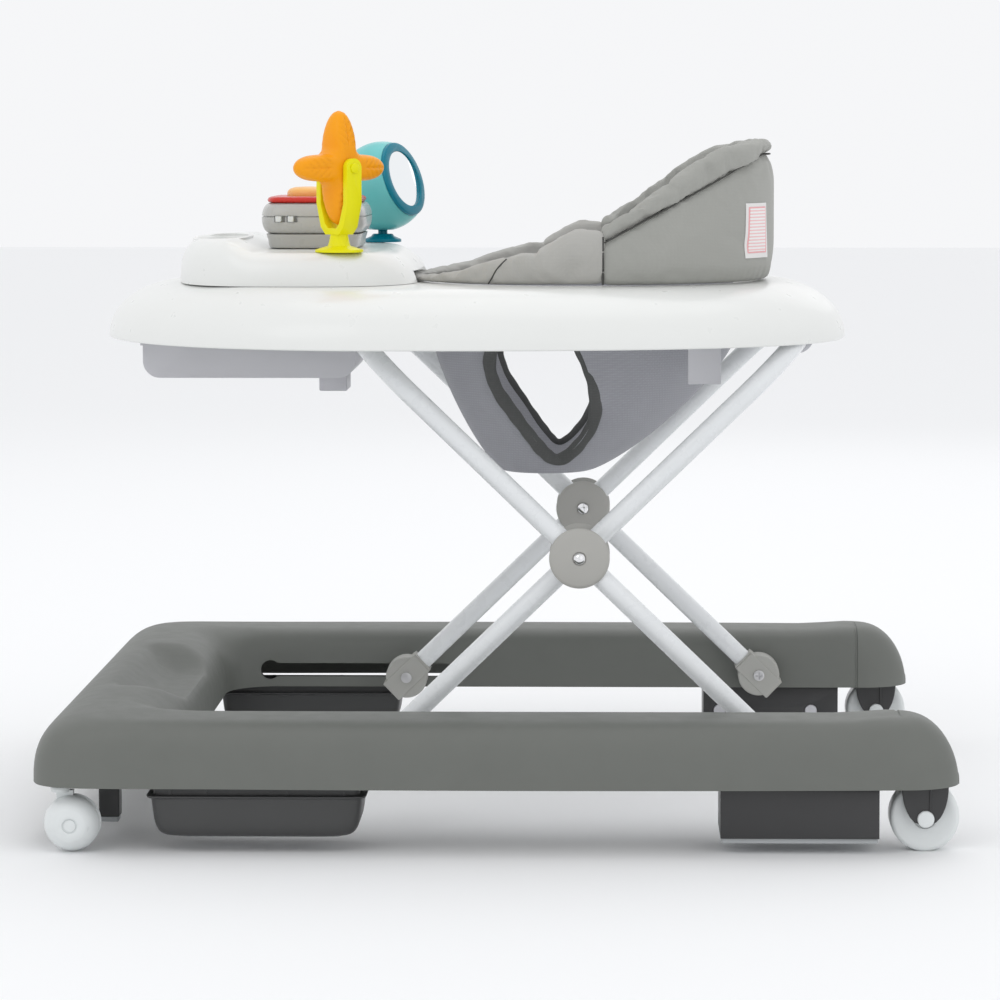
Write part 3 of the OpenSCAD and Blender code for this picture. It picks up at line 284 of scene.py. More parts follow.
# %% [markdown]
# ## From points to pieces
# Most shells here are lofts: rings of points that are skinned into quads. Quads from a formula give
# clean shading and keep the outline exact, where a stack of Boolean cuts would leave slivers. One small
# class gathers lofts, turned parts and slabs, and one function turns them into a piece on its body.
# %% Gather shapes
def axes(origin, along, up=(0, 0, 1)):
    """A function that places local points: w runs along the axis, v roughly up."""
    w = np.array(along, float) / np.linalg.norm(along)
    u = np.cross(up, w)
    u = u / np.linalg.norm(u)
    v = np.cross(w, u)
    base = np.array(origin, float)
    return lambda p: base + p[0] * u + p[1] * v + p[2] * w


def here(p):
    return p


class Shape:
    """Points and faces that are gathered before they become one piece."""

    def __init__(self):
        self.points = []
        self.faces = []

    def add(self, points, faces):
        start = len(self.points)
        self.points += [tuple(p) for p in points]
        self.faces += [tuple(i + start for i in face) for face in faces]
        return self

    def loft(self, rings, caps=True, closed=True, around=False):
        """Skins rings of equal counts. around joins the last ring to the first."""
        count, rows = len(rings[0]), len(rings)
        faces = []
        for row in range(rows if around else rows - 1):
            low, high = row * count, (row + 1) % rows * count
            for i in range(count if closed else count - 1):
                j = (i + 1) % count
                faces.append((low + i, low + j, high + j, high + i))
        if caps and not around:
            faces.append(tuple(range(count - 1, -1, -1)))
            faces.append(tuple((rows - 1) * count + i for i in range(count)))
        return self.add([p for ring in rings for p in ring], faces)

    def turn(self, profile, spot, count=64):
        """A turned part: profile holds (radius, height) pairs, spot places them."""
        rings = [[spot((r * math.cos(a), r * math.sin(a), h)) for a in np.linspace(0, math.tau, count, False)]
            for r, h in ((max(r, 0.01), h) for r, h in profile)]
        return self.loft(rings)

    def slab(self, outline, low, high, spot=here):
        """An outline in u and v, drawn out along w."""
        return self.loft([[spot((u, v, w)) for u, v in outline] for w in (low, high)])

    def block(self, low, high, spot=here):
        (x0, y0, z0), (x1, y1, z1) = low, high
        return self.slab([(x0, y0), (x1, y0), (x1, y1), (x0, y1)], z0, z1, spot)

    def sweep(self, path, radius, sides=24, up=(0, 0, 1), flat=1.0):
        """A round or flattened rope along a path of points."""
        path = np.array(path, float)
        ahead = np.gradient(path, axis=0)
        rings = []
        for p, d in zip(path, ahead):
            spot = axes(p, d, up)
            rings.append([spot((radius * math.cos(a), radius * flat * math.sin(a), 0))
                for a in np.linspace(0, math.tau, sides, False)])
        return self.loft(rings)


def soften_edges(obj, width, angle=35, steps=3):
    """Rounds sharp edges by a bevel, so that they catch the light as moulded edges do."""
    bevel = obj.modifiers.new("rounded edges", "BEVEL")
    bevel.width = width / MM
    bevel.segments = steps
    bevel.limit_method = "ANGLE"
    bevel.angle_limit = math.radians(angle)
    bevel.use_clamp_overlap = True
    bevel.harden_normals = True


def smooth_by_angle(mesh, degrees):
    mesh.shade_smooth()
    mesh.set_sharp_from_angle(angle=math.radians(degrees))


def make(name, shape, body, material, stands_for=(), sharp=38, edge=0.0):
    """Turns a shape in millimetres into a piece that rides on a body of the frame."""
    mesh = bpy.data.meshes.new(name)
    mesh.from_pydata([tuple(c / MM for c in p) for p in shape.points], [], shape.faces)
    work = bmesh.new()
    work.from_mesh(mesh)
    bmesh.ops.recalc_face_normals(work, faces=work.faces)
    work.to_mesh(mesh)
    work.free()
    smooth_by_angle(mesh, sharp)
    mesh.materials.append(material)
    obj = bpy.data.objects.new(name, mesh)
    bpy.context.scene.collection.objects.link(obj)
    if body:
        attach(obj, body)
    if edge:
        soften_edges(obj, edge)
    if stands_for:
        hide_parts(*stands_for)
    print(f"{name}: {len(mesh.vertices)} points")
    return obj


def settle(obj):
    """Applies every modifier of a piece to its own mesh."""
    graph = bpy.context.evaluated_depsgraph_get()
    made = bpy.data.meshes.new_from_object(obj.evaluated_get(graph))
    obj.modifiers.clear()
    obj.data = made


def cut(obj, shape, sharp=38):
    """Cuts a shape out of a piece."""
    tool = make("cutter", shape, None, obj.data.materials[0])
    carve = obj.modifiers.new("cut", "BOOLEAN")
    carve.operation = "DIFFERENCE"
    carve.solver = "EXACT"
    carve.object = tool
    bpy.context.view_layer.update()
    settle(obj)
    bpy.data.objects.remove(tool)
    smooth_by_angle(obj.data, sharp)


def signed_power(v, p):
    return math.copysign(abs(v) ** p, v)


def oval(xc, yc, a, b, n, count):
    """A rounded outline: n is 2 for an ellipse and more for squarer corners."""
    return [(xc + a * signed_power(math.cos(t), 2 / n), yc + b * signed_power(math.sin(t), 2 / n))
        for t in np.linspace(0, math.tau, count, False)]


def ease(low, high, v):
    """A smooth step from 0 at low to 1 at high."""
    t = min(1.0, max(0.0, (v - low) / (high - low)))
    return t * t * (3 - 2 * t)


def blend_between(a, b, t):
    return a + (b - a) * t


# %% [markdown]
# ## The base
# The base is one hollow moulding, open underneath, that runs back from a straight front member into two
# beams with domed noses. The beams draw in a little towards both ends. The cross-section is a rounded
# arch, so one arch is drawn at each station along the U and the arches are skinned. A dip in the front
# member makes room for the tray's tub when the walker folds flat, and the long slots that guide the legs
# are cut last.
# %% Sizes of the base
base_low, base_high = corners("base_shell")
rear_x, front_x, half_w = base_high[0], base_low[0], base_high[1]
BEAM_W, FRONT_DEPTH, INNER_R, NOSE, BOW, WALL = 85.0, 104.0, 42.0, 40.0, 9.0, 3.0
CROWN = 1.05
base_bottom = base_low[2]
beam_h = (base_high[2] - base_bottom) / CROWN
beam_top = base_bottom + beam_h
beam_face = half_w - BEAM_W
beam_mid = beam_face + BEAM_W / 2
straight_x = front_x + FRONT_DEPTH + INNER_R
corner_y = beam_face - INNER_R
SEAM_X = rear_x - 46

pivot = middle("rear_pivot_screws")
cross = middle("outer_cover_discs")
slider = middle("slider_pins")
leg_angle = math.atan2(cross[2] - pivot[2], pivot[0] - cross[0])
LOWER_LEG = math.hypot(cross[2] - pivot[2], pivot[0] - cross[0])
TUBE_R, BEND_R, SOCKET = 8.0, 60.0, 9.0
UPPER_LEG = (corners("leg_b_tube")[1][0] - TUBE_R - cross[0]) / math.cos(leg_angle)
FOLDED = math.radians(8)
tray_drop = (LOWER_LEG + UPPER_LEG) * (math.sin(leg_angle) - math.sin(FOLDED))
scoop_z = corners("channel_housing")[0][2] - tray_drop - 8
print(f"legs cross at {cross.round(1)}, the tray drops {tray_drop:.0f} mm")


# %% The base moulding
def bowed(x):
    return BOW * (x / rear_x) ** 2


def beam_station(x, groove=0.0):
    """Inner point, outer point, height share, squareness and seam depth of one arch."""
    k = math.sqrt(max(0.02, 1 - ((x - rear_x + NOSE) / NOSE) ** 2)) if x > rear_x - NOSE else 1.0
    half = BEAM_W / 2 * blend_between(1, k, 0.75)
    crown = 1 + (CROWN - 1) * ease(rear_x - 95, rear_x - 48, x)
    squareness = blend_between(5, 3.2, ease(rear_x - 55, rear_x - 30, x))
    return (x, beam_mid - half), (x, beam_mid + half - bowed(x)), k * crown, squareness, groove


def corner_station(t):
    n = 7
    return ((straight_x - INNER_R * math.sin(t), corner_y + INNER_R * math.cos(t)),
        (straight_x - (straight_x - front_x) * signed_power(math.sin(t), 2 / n),
         corner_y + (half_w - bowed(straight_x) - corner_y) * signed_power(math.cos(t), 2 / n)),
        1 + (CROWN - 1) * math.sin(t), blend_between(5, 2.6, math.sin(t)), 0.0)


half_run = [beam_station(rear_x - NOSE * (1 - math.sin(t))) for t in np.linspace(math.radians(89), 0.1, 14)]
half_run += [beam_station(x) for x in np.linspace(rear_x - NOSE - 0.5, SEAM_X + 1.4, 3)]
half_run += [beam_station(SEAM_X + 0.7, 0.9), beam_station(SEAM_X - 0.7, 0.9), beam_station(SEAM_X - 1.4)]
half_run += [beam_station(x) for x in np.linspace(SEAM_X - 8, straight_x, 26)]
half_run += [corner_station(t) for t in np.linspace(0, math.pi / 2, 34)[1:]]
half_run += [((front_x + FRONT_DEPTH, y), (front_x, y), CROWN, 2.6, 0.0)
    for y in np.linspace(corner_y, 0, 20)[1:]]


def mirrored(station):
    (xi, yi), (xo, yo), share, squareness, groove = station
    return (xi, -yi), (xo, -yo), share, squareness, groove


whole_run = half_run + [mirrored(s) for s in half_run[-2::-1]]
ARCH_STEPS = 36
SCOOP_HALF, SCOOP_SIDE, SCOOP_LEAN = 105.0, 40.0, 22.0


def scooped(x, y, z, floor):
    """Lowers a point of the front member into the dip, with sloping sides."""
    lean = max((front_x + 50 + SCOOP_LEAN - x) / SCOOP_LEAN,
        (abs(y) - SCOOP_HALF + SCOOP_SIDE) / SCOOP_SIDE, 0)
    limit = floor + lean ** 1.5 * (beam_top - 4 - scoop_z)
    over = z - limit
    return z - (over + math.sqrt(over * over + 4)) / 2 if x < straight_x else z


def arch(station, inset):
    (xi, yi), (xo, yo), share, squareness, groove = station
    mid = np.array([(xi + xo) / 2, (yi + yo) / 2])
    reach = math.hypot(xo - xi, yo - yi) / 2
    out = np.array([xo - xi, yo - yi]) / (2 * reach)
    ring = []
    for i in range(ARCH_STEPS + 1):
        a = math.pi * i / ARCH_STEPS
        side = -signed_power(math.cos(a), 2 / squareness)
        pressed = inset + groove * (1 - ease(0.1, 0.5, side))
        p = mid + out * (reach - pressed) * side
        z = base_bottom + max(beam_h * share - pressed, 0.5) * math.sin(a) ** (2 / squareness)
        ring.append((p[0], p[1], max(base_bottom, scooped(p[0], p[1], z, scoop_z - inset))))
    return ring


base = Shape().loft([arch(s, 0) + arch(s, WALL)[::-1] for s in whole_run])
moulding = make("base_moulding", base, "base", base_grey, ["base_shell"])

slot_end = slider[0] + 33
folded_reach = LOWER_LEG * math.cos(FOLDED)
slot_start = cross[0] - folded_reach + (pivot[0] - cross[0] - folded_reach) - 4
SLOT_R, KEYHOLE_R = 5.9, 8.5


def capsule(x0, x1, z, r, steps=20):
    """A slot's outline in x and z."""
    ends = [(x1, -math.pi / 2), (x0, math.pi / 2)]
    return [(x + r * math.cos(s + a), z + r * math.sin(s + a)) for x, s in ends
        for a in np.linspace(0, math.pi, steps)]


for side in (-1, 1):
    spot = lambda p, side=side: (p[0], side * (beam_face + p[2]), p[1])
    cut(moulding, Shape().slab(capsule(slot_start, slot_end, slider[2], SLOT_R), -9, 12, spot))
    cut(moulding, Shape().slab(oval(slot_start - 3, slider[2], KEYHOLE_R, KEYHOLE_R, 2, 40), -9, 12, spot))
print("slot from", round(slot_start), "to", round(slot_end))

# %% [markdown]
# ## Stoppers, feet and wheels
# Tapered tubs hang under the front of the beams and plain blocks under the rear, each with a strip of
# rubber, so that the walker drops and grips at the edge of a step. The wheels are turned parts: a
# profile spun round its axle gives the soft tyre edge and the hub without any faceting.
# %% Tubs under the front
for side, name in ((-1, "left"), (1, "right")):
    low, high = corners("front_stop_tubs")
    strip_low, strip_high = corners("front_stop_pads")
    tub_mid = np.array([(low[0] + high[0]) / 2, 0, 0])
    tub_half, tub_w = (high[0] - low[0]) / 2, BEAM_W - 14
    tub_y = side * (high[1] - tub_w / 2)
    rim_z = base_bottom - 6.5
    rings = []
    for t in np.linspace(0, 1, 16):
        z = blend_between(rim_z - 1.5, strip_high[2], math.sin(t * math.pi / 2))
        lower = 1 - math.cos(t * math.pi / 2)
        length = tub_half - 2.5 - 4 * (rim_z - z) / 34 - 12 * lower ** 2.2
        rings.append([(x, y, z) for x, y in oval(tub_mid[0], tub_y, length,
            tub_w / 2 - 1.5 - 9 * lower ** 2.5, 9, 72)])
    tub = Shape().loft(rings)
    tub.loft([[(x, y, z) for x, y in oval(tub_mid[0], tub_y, tub_half - i, tub_w / 2 - i, 14, 72)]
        for i, z in ((1.2, rim_z - 2.2), (0.2, rim_z - 1.6), (0, rim_z - 0.4), (0.6, rim_z))])
    tub.loft([[(x, y, z) for x, y in oval(tub_mid[0], tub_y, tub_half - 5, tub_w / 2 - 5, 14, 72)]
        for z in (rim_z - 1, base_bottom - 0.3)])
    for share in (-0.78, -0.46, 0.28, 0.8):
        x = tub_mid[0] + share * tub_half
        outer = tub_y + side * (tub_w / 2 - 4.2)
        tub.block((x - 1.2, min(outer, outer - side), rim_z - 0.5),
            (x + 1.2, max(outer, outer - side), base_bottom - 0.3))
    make(f"front_tub_{name}", tub, "base", stopper_dark,
        ["front_stop_tubs"] if side < 0 else [])
    grip = Shape().loft([[(x, y, z) for x, y in oval(tub_mid[0], tub_y, tub_half - 20 - i, 9 - i, 8, 56)]
        for i, z in ((0, strip_high[2]), (0, strip_low[2] + 1), (0.4, strip_low[2] + 0.3),
        (1.2, strip_low[2]))])
    make(f"front_grip_{name}", grip, "base", strip_rubber,
        ["front_stop_pads"] if side < 0 else [])


# %% Wheels at the rear
def arc(xc, yc, r, start, end, steps=8):
    """Part of a circle as (radius, height) pairs, in degrees."""
    return [(xc + r * math.cos(math.radians(a)), yc + r * math.sin(math.radians(a)))
        for a in np.linspace(start, end, steps)]


wheel_low, wheel_high = corners("rear_wheel_left")
wheel = (wheel_low + wheel_high) / 2
wheel_r, wheel_half = (wheel_high[2] - wheel_low[2]) / 2, (wheel_high[1] - wheel_low[1]) / 2
tread = arc(wheel_r - 3.5, wheel_half - 3.5, 3.5, 90, 0)
face = [(0.01, wheel_half - 2.2), (8, wheel_half - 2.2), (8.6, wheel_half - 1.8), (9.2, wheel_half - 0.6),
    (10, wheel_half - 0.4), (12, wheel_half - 1.0), (18, wheel_half - 0.9), (20.5, wheel_half - 0.2)]
wheel_profile = face + tread
wheel_profile += [(r, -h) for r, h in wheel_profile[::-1]]
for side, name in ((-1, "left"), (1, "right")):
    spot = axes((wheel[0], side * abs(wheel[1]), wheel[2]), (0, 1, 0))
    make(f"rear_wheel_{name}_disc", Shape().turn(wheel_profile, spot, 96), f"wheel_{name}", wheel_white,
        [f"rear_wheel_{name}"])


# %% Brackets and axle caps
def ear_outline(steps=12):
    """The ear narrows from the beam in a long curve round the axle."""
    top, drop, half = base_bottom + 6, base_bottom + 6 - wheel[2] + 6, 17.8
    side = [(half * (1 - t ** 2.6) ** 0.5, top - drop * t) for t in np.linspace(0, 1, steps)]
    return [(wheel[0] - 0.3 + x, z) for x, z in side] + [(wheel[0] - 0.3 - x, z) for x, z in side[-2::-1]]


for side, name in ((-1, "left"), (1, "right")):
    ears = Shape()
    wheel_y = side * abs(wheel[1])
    for face_side in (-1, 1):
        near = wheel_y + face_side * (wheel_half + 1)
        spot = lambda p, near=near, face_side=face_side: (p[0], near + face_side * p[2], p[1])
        ears.slab(ear_outline(), 0, 6.8, spot)
        ears.block((wheel[0] + 2.6, wheel[2] + 5, 6.5), (wheel[0] + 4.4, base_bottom + 5, 8), spot)
    ears.block((wheel[0] - 17.5, wheel_y - wheel_half - 7, wheel_r * 2 + 2),
        (wheel[0] + 12.5, wheel_y + wheel_half + 7, wheel_r * 2 + 6))
    make(f"wheel_bracket_{name}", ears, "base", block_dark,
        ["rear_wheel_brackets"] if side < 0 else [], edge=0.8)
    cap = Shape()
    for face_side in (-1, 1):
        out = wheel_half + 1 + 6.8
        spot = axes((wheel[0], wheel_y + face_side * out, wheel[2]), (0, face_side, 0))
        cap.turn([(2.9, -8), (2.9, 0.1), (6.4, 0.1), *arc(5.4, 1.4, 1.0, 0, 80, 5), (3, 2.7), (0.01, 2.8)],
            spot, 40)
    make(f"axle_caps_{name}", cap, "base", wheel_white, ["rear_wheel_axles"] if side < 0 else [])

# %% Ball casters at the front
ball_low, ball_high = corners("caster_wheel_left")
caster = (ball_low + ball_high) / 2
caster_r, cap_y = (ball_high[2] - ball_low[2]) / 2, (ball_high[1] - ball_low[1]) / 2
inner_cut = math.degrees(math.asin(3.6 / caster_r))
outer_cut = math.degrees(math.asin(cap_y / caster_r))
half_ball = [(0.01, cap_y - 0.9), (4.5, cap_y - 0.9), (4.7, cap_y - 1.6), (5.6, cap_y - 1.6),
    (5.8, cap_y - 0.3), (7, cap_y)]
half_ball += arc(0, 0, caster_r, outer_cut - 2, inner_cut + 2, 24)
half_ball += [(caster_r - 2, 3.6), (2.9, 3.6)]
for side, name in ((-1, "left"), (1, "right")):
    halves = Shape()
    for face_side in (-1, 1):
        halves.turn(half_ball, axes((caster[0], side * abs(caster[1]), caster[2]), (0, face_side, 0)), 96)
    make(f"caster_ball_{name}", halves, f"caster_{name}", wheel_white,
        [f"caster_wheel_{name}"])

# %% [markdown]
# ## The crossed legs
# Each leg is one bent tube, so it is swept along one path: up one side, round two corners and down the
# other. A sweep keeps the wall round through the bend. The fittings at the lower ends are a disc with a
# raised band across it, and large domed discs cover the rivets where the legs cross.
# %% Sweep the tubes


def leg_axes(up):
    """Local axes of a leg, with x running up it from the crossing."""
    sway = -1 if up == "front" else 1
    along = np.array([sway * math.cos(leg_angle), 0, math.sin(leg_angle)])
    across = np.array([0, 1, 0])
    lift = np.cross(along, across)
    origin = np.array([cross[0], 0, cross[2]])
    return lambda p: origin + p[0] * along + p[1] * across + p[2] * lift


def leg_path(y, run):
    bend = [(UPPER_LEG - BEND_R + BEND_R * math.sin(a), y - BEND_R + BEND_R * math.cos(a))
        for a in np.linspace(0, math.pi / 2, 16)]
    half = [(u, y) for u in np.linspace(SOCKET - LOWER_LEG, UPPER_LEG - BEND_R - 1, 24)] + bend
    return [run((u, v, 0)) for u, v in half] + [run((u, -v, 0)) for u, v in half[::-1]]


legs = {"leg_a": ("front", corners("leg_a_tube")[1][1] - TUBE_R),
    "leg_b": ("rear", corners("leg_b_tube")[1][1] - TUBE_R)}
for leg, (up, y) in legs.items():
    run = leg_axes(up)
    lift = np.array(run((0, 0, 1))) - np.array(run((0, 0, 0)))
    make(f"{leg}_bent_tube", Shape().sweep(leg_path(y, run), TUBE_R, 32, lift), leg, tube_white,
        [f"{leg}_tube"])
    ends = Shape()
    half_t = 10.5
    for side in (-1, 1):
        spot = lambda p, side=side, run=run, y=y: run((p[0] - LOWER_LEG, side * y + p[2], p[1]))
        ends.turn([(17.2, -half_t), (18.2, 1 - half_t), (18.2, half_t - 1), (17.2, half_t)], spot, 72)
        ends.block((-19.2, -9.8, 0.5 - half_t), (20.2, 9.8, half_t - 0.5), spot)
        ends.block((-18.6, -10, -half_t - 0.8), (18.6, 10, half_t + 0.8), spot)
    make(f"{leg}_end_fittings", ends, leg, fitting_grey, [f"{leg}_fittings"], edge=0.7)

# %% Domed discs over the rivets
DISC_R, DISC_T = 23.5, 4.0
dome = [(DISC_R - 0.6, 0), (DISC_R, 0.4), (DISC_R, 1.1), (DISC_R - 0.6, 1.8), (DISC_R - 3, 2.5), (15, 3.3),
    (9, 3.8), (5.4, DISC_T), (5.1, DISC_T - 0.5), (0.01, DISC_T - 0.6)]
for name, leg, node, out in (("outer", "leg_a", "outer_cover_discs", 1),
    ("inner", "leg_b", "inner_cover_discs", -1)):
    low, high = corners(node)
    seat_y = high[1] - DISC_T if out > 0 else high[1]
    pair = Shape()
    for side in (-1, 1):
        pair.turn(dome, axes((cross[0], side * seat_y, cross[2]), (0, side * out, 0)), 96)
    make(f"{name}_domed_discs", pair, leg, disc_grey, [node], sharp=50)

# %% [markdown]
# ## Parts that keep their engineered shape
# Screws, clips, slides and brackets are already right. They keep their own meshes and only get moulded
# edges: duplicate points are welded, flat areas joined, and a small bevel rounds what is sharp.
# %% Dress the carried parts
carried = {
    "slot_tracks": (shaded_track_steel, 0.2), "leg_spacers": (block_dark, 0.4), "rear_pivot_screws": (steel, 0.3),
    "rear_stop_blocks": (block_dark, 1.2), "rear_stop_pads": (strip_rubber, 0.8),
    "rear_stop_plugs": (under_grey, 0.5),
    "front_feet": (stopper_dark, 0.9), "front_foot_tips": (strip_rubber, 0.7),
    "caster_sockets": (block_dark, 0.3),
    "caster_fork_left": (wheel_white, 0.5), "caster_fork_right": (wheel_white, 0.5),
    "centre_rivets": (chrome, 0.2),
    "slider_pins": (steel, 0.3), "slider_spacers": (fitting_grey, 0.4), "channel_housing": (under_grey, 1.0),
    "rear_bar_clips": (under_grey, 1.0), "tray_screws": (steel, 0.3), "height_latch": (under_grey, 1.5),
    "rear_rest_tab": (under_grey, 0.8), "toy_circuit_board": (board_green, 0.2),
    "toy_speaker": (block_dark, 0.4),
    "toy_batteries": (sleeve_blue, 0.4), "star_pin": (toy_yellow, 0.4), "star_post": (toy_yellow, 1.2),
    "ball_stand": (ring_teal, 0.5), "ball_body": (ball_teal, 0.6),
    "ball_rings": (ring_teal, 0.4), "ball_mirrors": (mirror, 0.2), "toy_button": (toy_peach, 1.0),
    "toy_switch_front": (wheel_white, 0.4), "toy_switch_rear": (wheel_white, 0.4)}
for node, (material, edge) in carried.items():
    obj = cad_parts[node]
    obj.data.materials.clear()
    obj.data.materials.append(material)
    weld = obj.modifiers.new("joined points", "WELD")
    weld.merge_threshold = 0.00002
    flat = obj.modifiers.new("flat areas", "DECIMATE")
    flat.decimate_type = "DISSOLVE"
    flat.angle_limit = math.radians(1.5)
    obj.data.shade_smooth()
    soften_edges(obj, edge, 32, 2)
print("carried parts:", len(carried))

# %% [markdown]
# ## The tray
# The tray's outline is egg-shaped: fuller at the rear, and finer towards the front. One ring of
# points is drawn at each height, from the lower edge up the rounded skirt, over the flat top, down through
# the seat opening and back along the inside, and the last ring joins the first.
# %% Skin the tray
tray_low, tray_high = corners("tray_shell")
sling_bottom = corners("seat_sling")[0][2]
pad_base = corners("seat_back_pad")[0][2]
tray_top = pad_base - 0.3
WIDE_X = tray_low[0] + 0.387 * (tray_high[0] - tray_low[0])
SKIRT_W, SKIRT_H, TRAY_WALL, SEAT_N, PAD_T = 58.0, 43.0, 3.0, 2.3, 20.0
SEAT_A, SEAT_B = 152.5, 155.0
seat_x = tray_high[0] - SKIRT_W - SEAT_A
TRAY_RING = 192


def tray_ring(inset, z, edge=0.0):
    """The egg outline, pulled in by inset, at height z."""
    ring = []
    for t in np.linspace(0, math.tau, TRAY_RING, False):
        length, n = (tray_high[0] - WIDE_X, 2.8) if math.cos(t) > 0 else (WIDE_X - tray_low[0], 2.1)
        ring.append((WIDE_X + (length - inset) * signed_power(math.cos(t), 2 / n),
            (tray_high[1] - inset) * signed_power(math.sin(t), 2 / n), z + edge))
    return ring


def seat_ring(inset, z, count=TRAY_RING):
    return [(x, y, z) for x, y in oval(seat_x, 0, SEAT_A - inset, SEAT_B - inset, SEAT_N, count)]


def skirt(gap, z):
    return [tray_ring(gap + (SKIRT_W - gap) * (1 - math.cos(a)), z + (SKIRT_H - gap) * math.sin(a))
        for a in np.linspace(0, math.pi / 2, 22)]


lower_lip = [tray_ring(i, tray_low[2] + z) for i, z in ((1.8, 0), (0.6, 0.15), (0.1, 0.7), (0, 1.4))]
OPENING_DEEP = 22.0
opening = [seat_ring(i, tray_top - z) for i, z in ((PAD_T - 0.6, 0), (PAD_T, 0.8), (PAD_T, OPENING_DEEP),
    (PAD_T - TRAY_WALL, OPENING_DEEP), (PAD_T - TRAY_WALL, TRAY_WALL))]
tray_rings = lower_lip + skirt(0, tray_low[2] + 2) + opening + skirt(TRAY_WALL, tray_low[2] + 2)[::-1]
make("tray_moulding", Shape().loft(tray_rings, around=True), "tray", tray_white,
    ["tray_shell"], sharp=50)

# %% Raise the console and its cup
console_low = tray_top + 0.3
console_x = tray_low[0] + 162.0
CONSOLE_A, CONSOLE_B, CONSOLE_H = 100.0, 165.0, 26.0
console_top = console_low + CONSOLE_H
cup_x = console_x - CONSOLE_A + 30


def console_ring(inset, z):
    return [(x, y, z) for x, y in oval(console_x, 0, CONSOLE_A - inset, CONSOLE_B - inset, 3, 144)]


crown = [(0, 0), (0, 2.5)] + [(18 * (1 - math.cos(a)) ** 1.25, 2.5 + (CONSOLE_H - 2.5) * math.sin(a))
    for a in np.linspace(0.12, math.pi / 2, 16)]
crown += [(i, CONSOLE_H) for i in (22, 28, 36, 46, 58, 72, 86)]


def swelled(p):
    """The front of the console rises into a broad lip round the cup."""
    rise = 9.0 * (1 - ease(cup_x + 15, cup_x + 41, p[0])) * min(1, (p[2] - console_low) / CONSOLE_H)
    lean = 14.0 * ease(console_x + 20, console_x + CONSOLE_A, p[0]) * min(1, (p[2] - console_low) / CONSOLE_H)
    return (p[0] - lean, p[1], p[2] + rise)


console_shape = Shape().loft([[swelled(p) for p in console_ring(i, console_low + h)] for i, h in crown])
console = make("console_moulding", console_shape, None, tray_white, sharp=45)


def cup_ring(a, b, n, z):
    return [(x, y, z) for x, y in oval(cup_x, 0, a, b, n, 96)]


rim = console_top + 9
cup_profile = [(22.5, 82.5, 2.7, rim - 5), (22.0, 81.5, 2.7, rim - 0.4), (21, 79.8, 2.6, rim + 0.2),
    (19.6, 77.6, 2.5, rim + 0.1), (18.6, 75.4, 2.5, rim - 0.9), (18.0, 72.6, 2.4, rim - 3)]
cup_profile += [(18 - 6 * t ** 1.6, 72.6 - 12.6 * t ** 1.6, 2.4, rim - 3 - 15.8 * t)
    for t in np.linspace(0.12, 1, 9)]
cup_profile += [(8, 50, 2.4, rim - 19.6), (2, 30, 2.2, rim - 20)]
cut(console, Shape().loft([cup_ring(19, 74, 2.4, console_low + 4), cup_ring(19, 74, 2.4, rim + 3)]))
cut(console, Shape().loft([seat_ring(-1.5, tray_top - 5, 96), seat_ring(-1.5, console_low + 9.2, 96)]), 45)
soften_edges(console, 0.8, 50, 2)
make("console_cup", Shape().loft([cup_ring(*p) for p in cup_profile]), "tray", tray_white,
    sharp=45)
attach(console, "tray")
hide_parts("console_tray")
print("tray top", round(tray_top, 1), "console top", round(console_top, 1))

# %% [markdown]
# ## The padded seat
# The wall round the opening is two padded panels, and the tall one carries a soft roll along its top. Each
# starts as a slim closed form, is remeshed evenly, and a cloth simulation blows it up from inside while
# its sewn edges are held. The cloth is cut a little too large, so it wrinkles as real cloth does.
# %% Where the seat's edges run
BACK_ANGLE, BAND_START = 87.1, 85.8
JOINT_ANGLE, JOINT_TOP = 86.65, 463


def seat_edge(angle, inset):
    t = math.radians(angle)
    return np.array([seat_x + (SEAT_A - inset) * signed_power(math.cos(t), 2 / SEAT_N),
        (SEAT_B - inset) * signed_power(math.sin(t), 2 / SEAT_N)])


SEAM_HEIGHTS = [(60, 446), (81, 457), (213, 527), (230, 528)]
ROLL_HEIGHTS = [(60, 462), (74, 470), (145, 516), (182, 536), (202, 540), (230, 541)]
BAND_HEIGHTS = [(-83, 431), (-52, 434), (-27, 440), (10, 450), (39, 461), (59, 470), (85, 469)]


def height(table, x):
    return float(np.interp(x, [p[0] for p in table], [p[1] for p in table]))


def section(angle, low, high, outer, inner, n=3.0, scale=1.0, count=28):
    """A rounded section across the wall of the seat: insets run across it and heights up it."""
    a, b = seat_edge(angle, outer), seat_edge(angle, inner)
    ring = []
    for t in np.linspace(0, math.tau, count, False):
        across = 0.5 + 0.5 * scale * signed_power(math.cos(t), 2 / n)
        up = (low + high) / 2 + (high - low) / 2 * scale * signed_power(math.sin(t), 2 / n)
        p = a + (b - a) * across
        ring.append((p[0], p[1], up))
    return ring


def panel(start, end, low, high, outer, inner, n=3.0, steps=110):
    """A run of sections from one angle to another, narrowed at both ends."""
    rings = []
    for t in np.linspace(0, 1, steps):
        angle = blend_between(start, end, t)
        x = seat_edge(angle, 0)[0]
        closing = 1 - 0.06 * (1 - min(1, t / 0.02, (1 - t) / 0.02)) ** 2
        rings.append(section(angle, low(x), high(x), outer, inner, n, closing))
    return Shape().loft(rings)


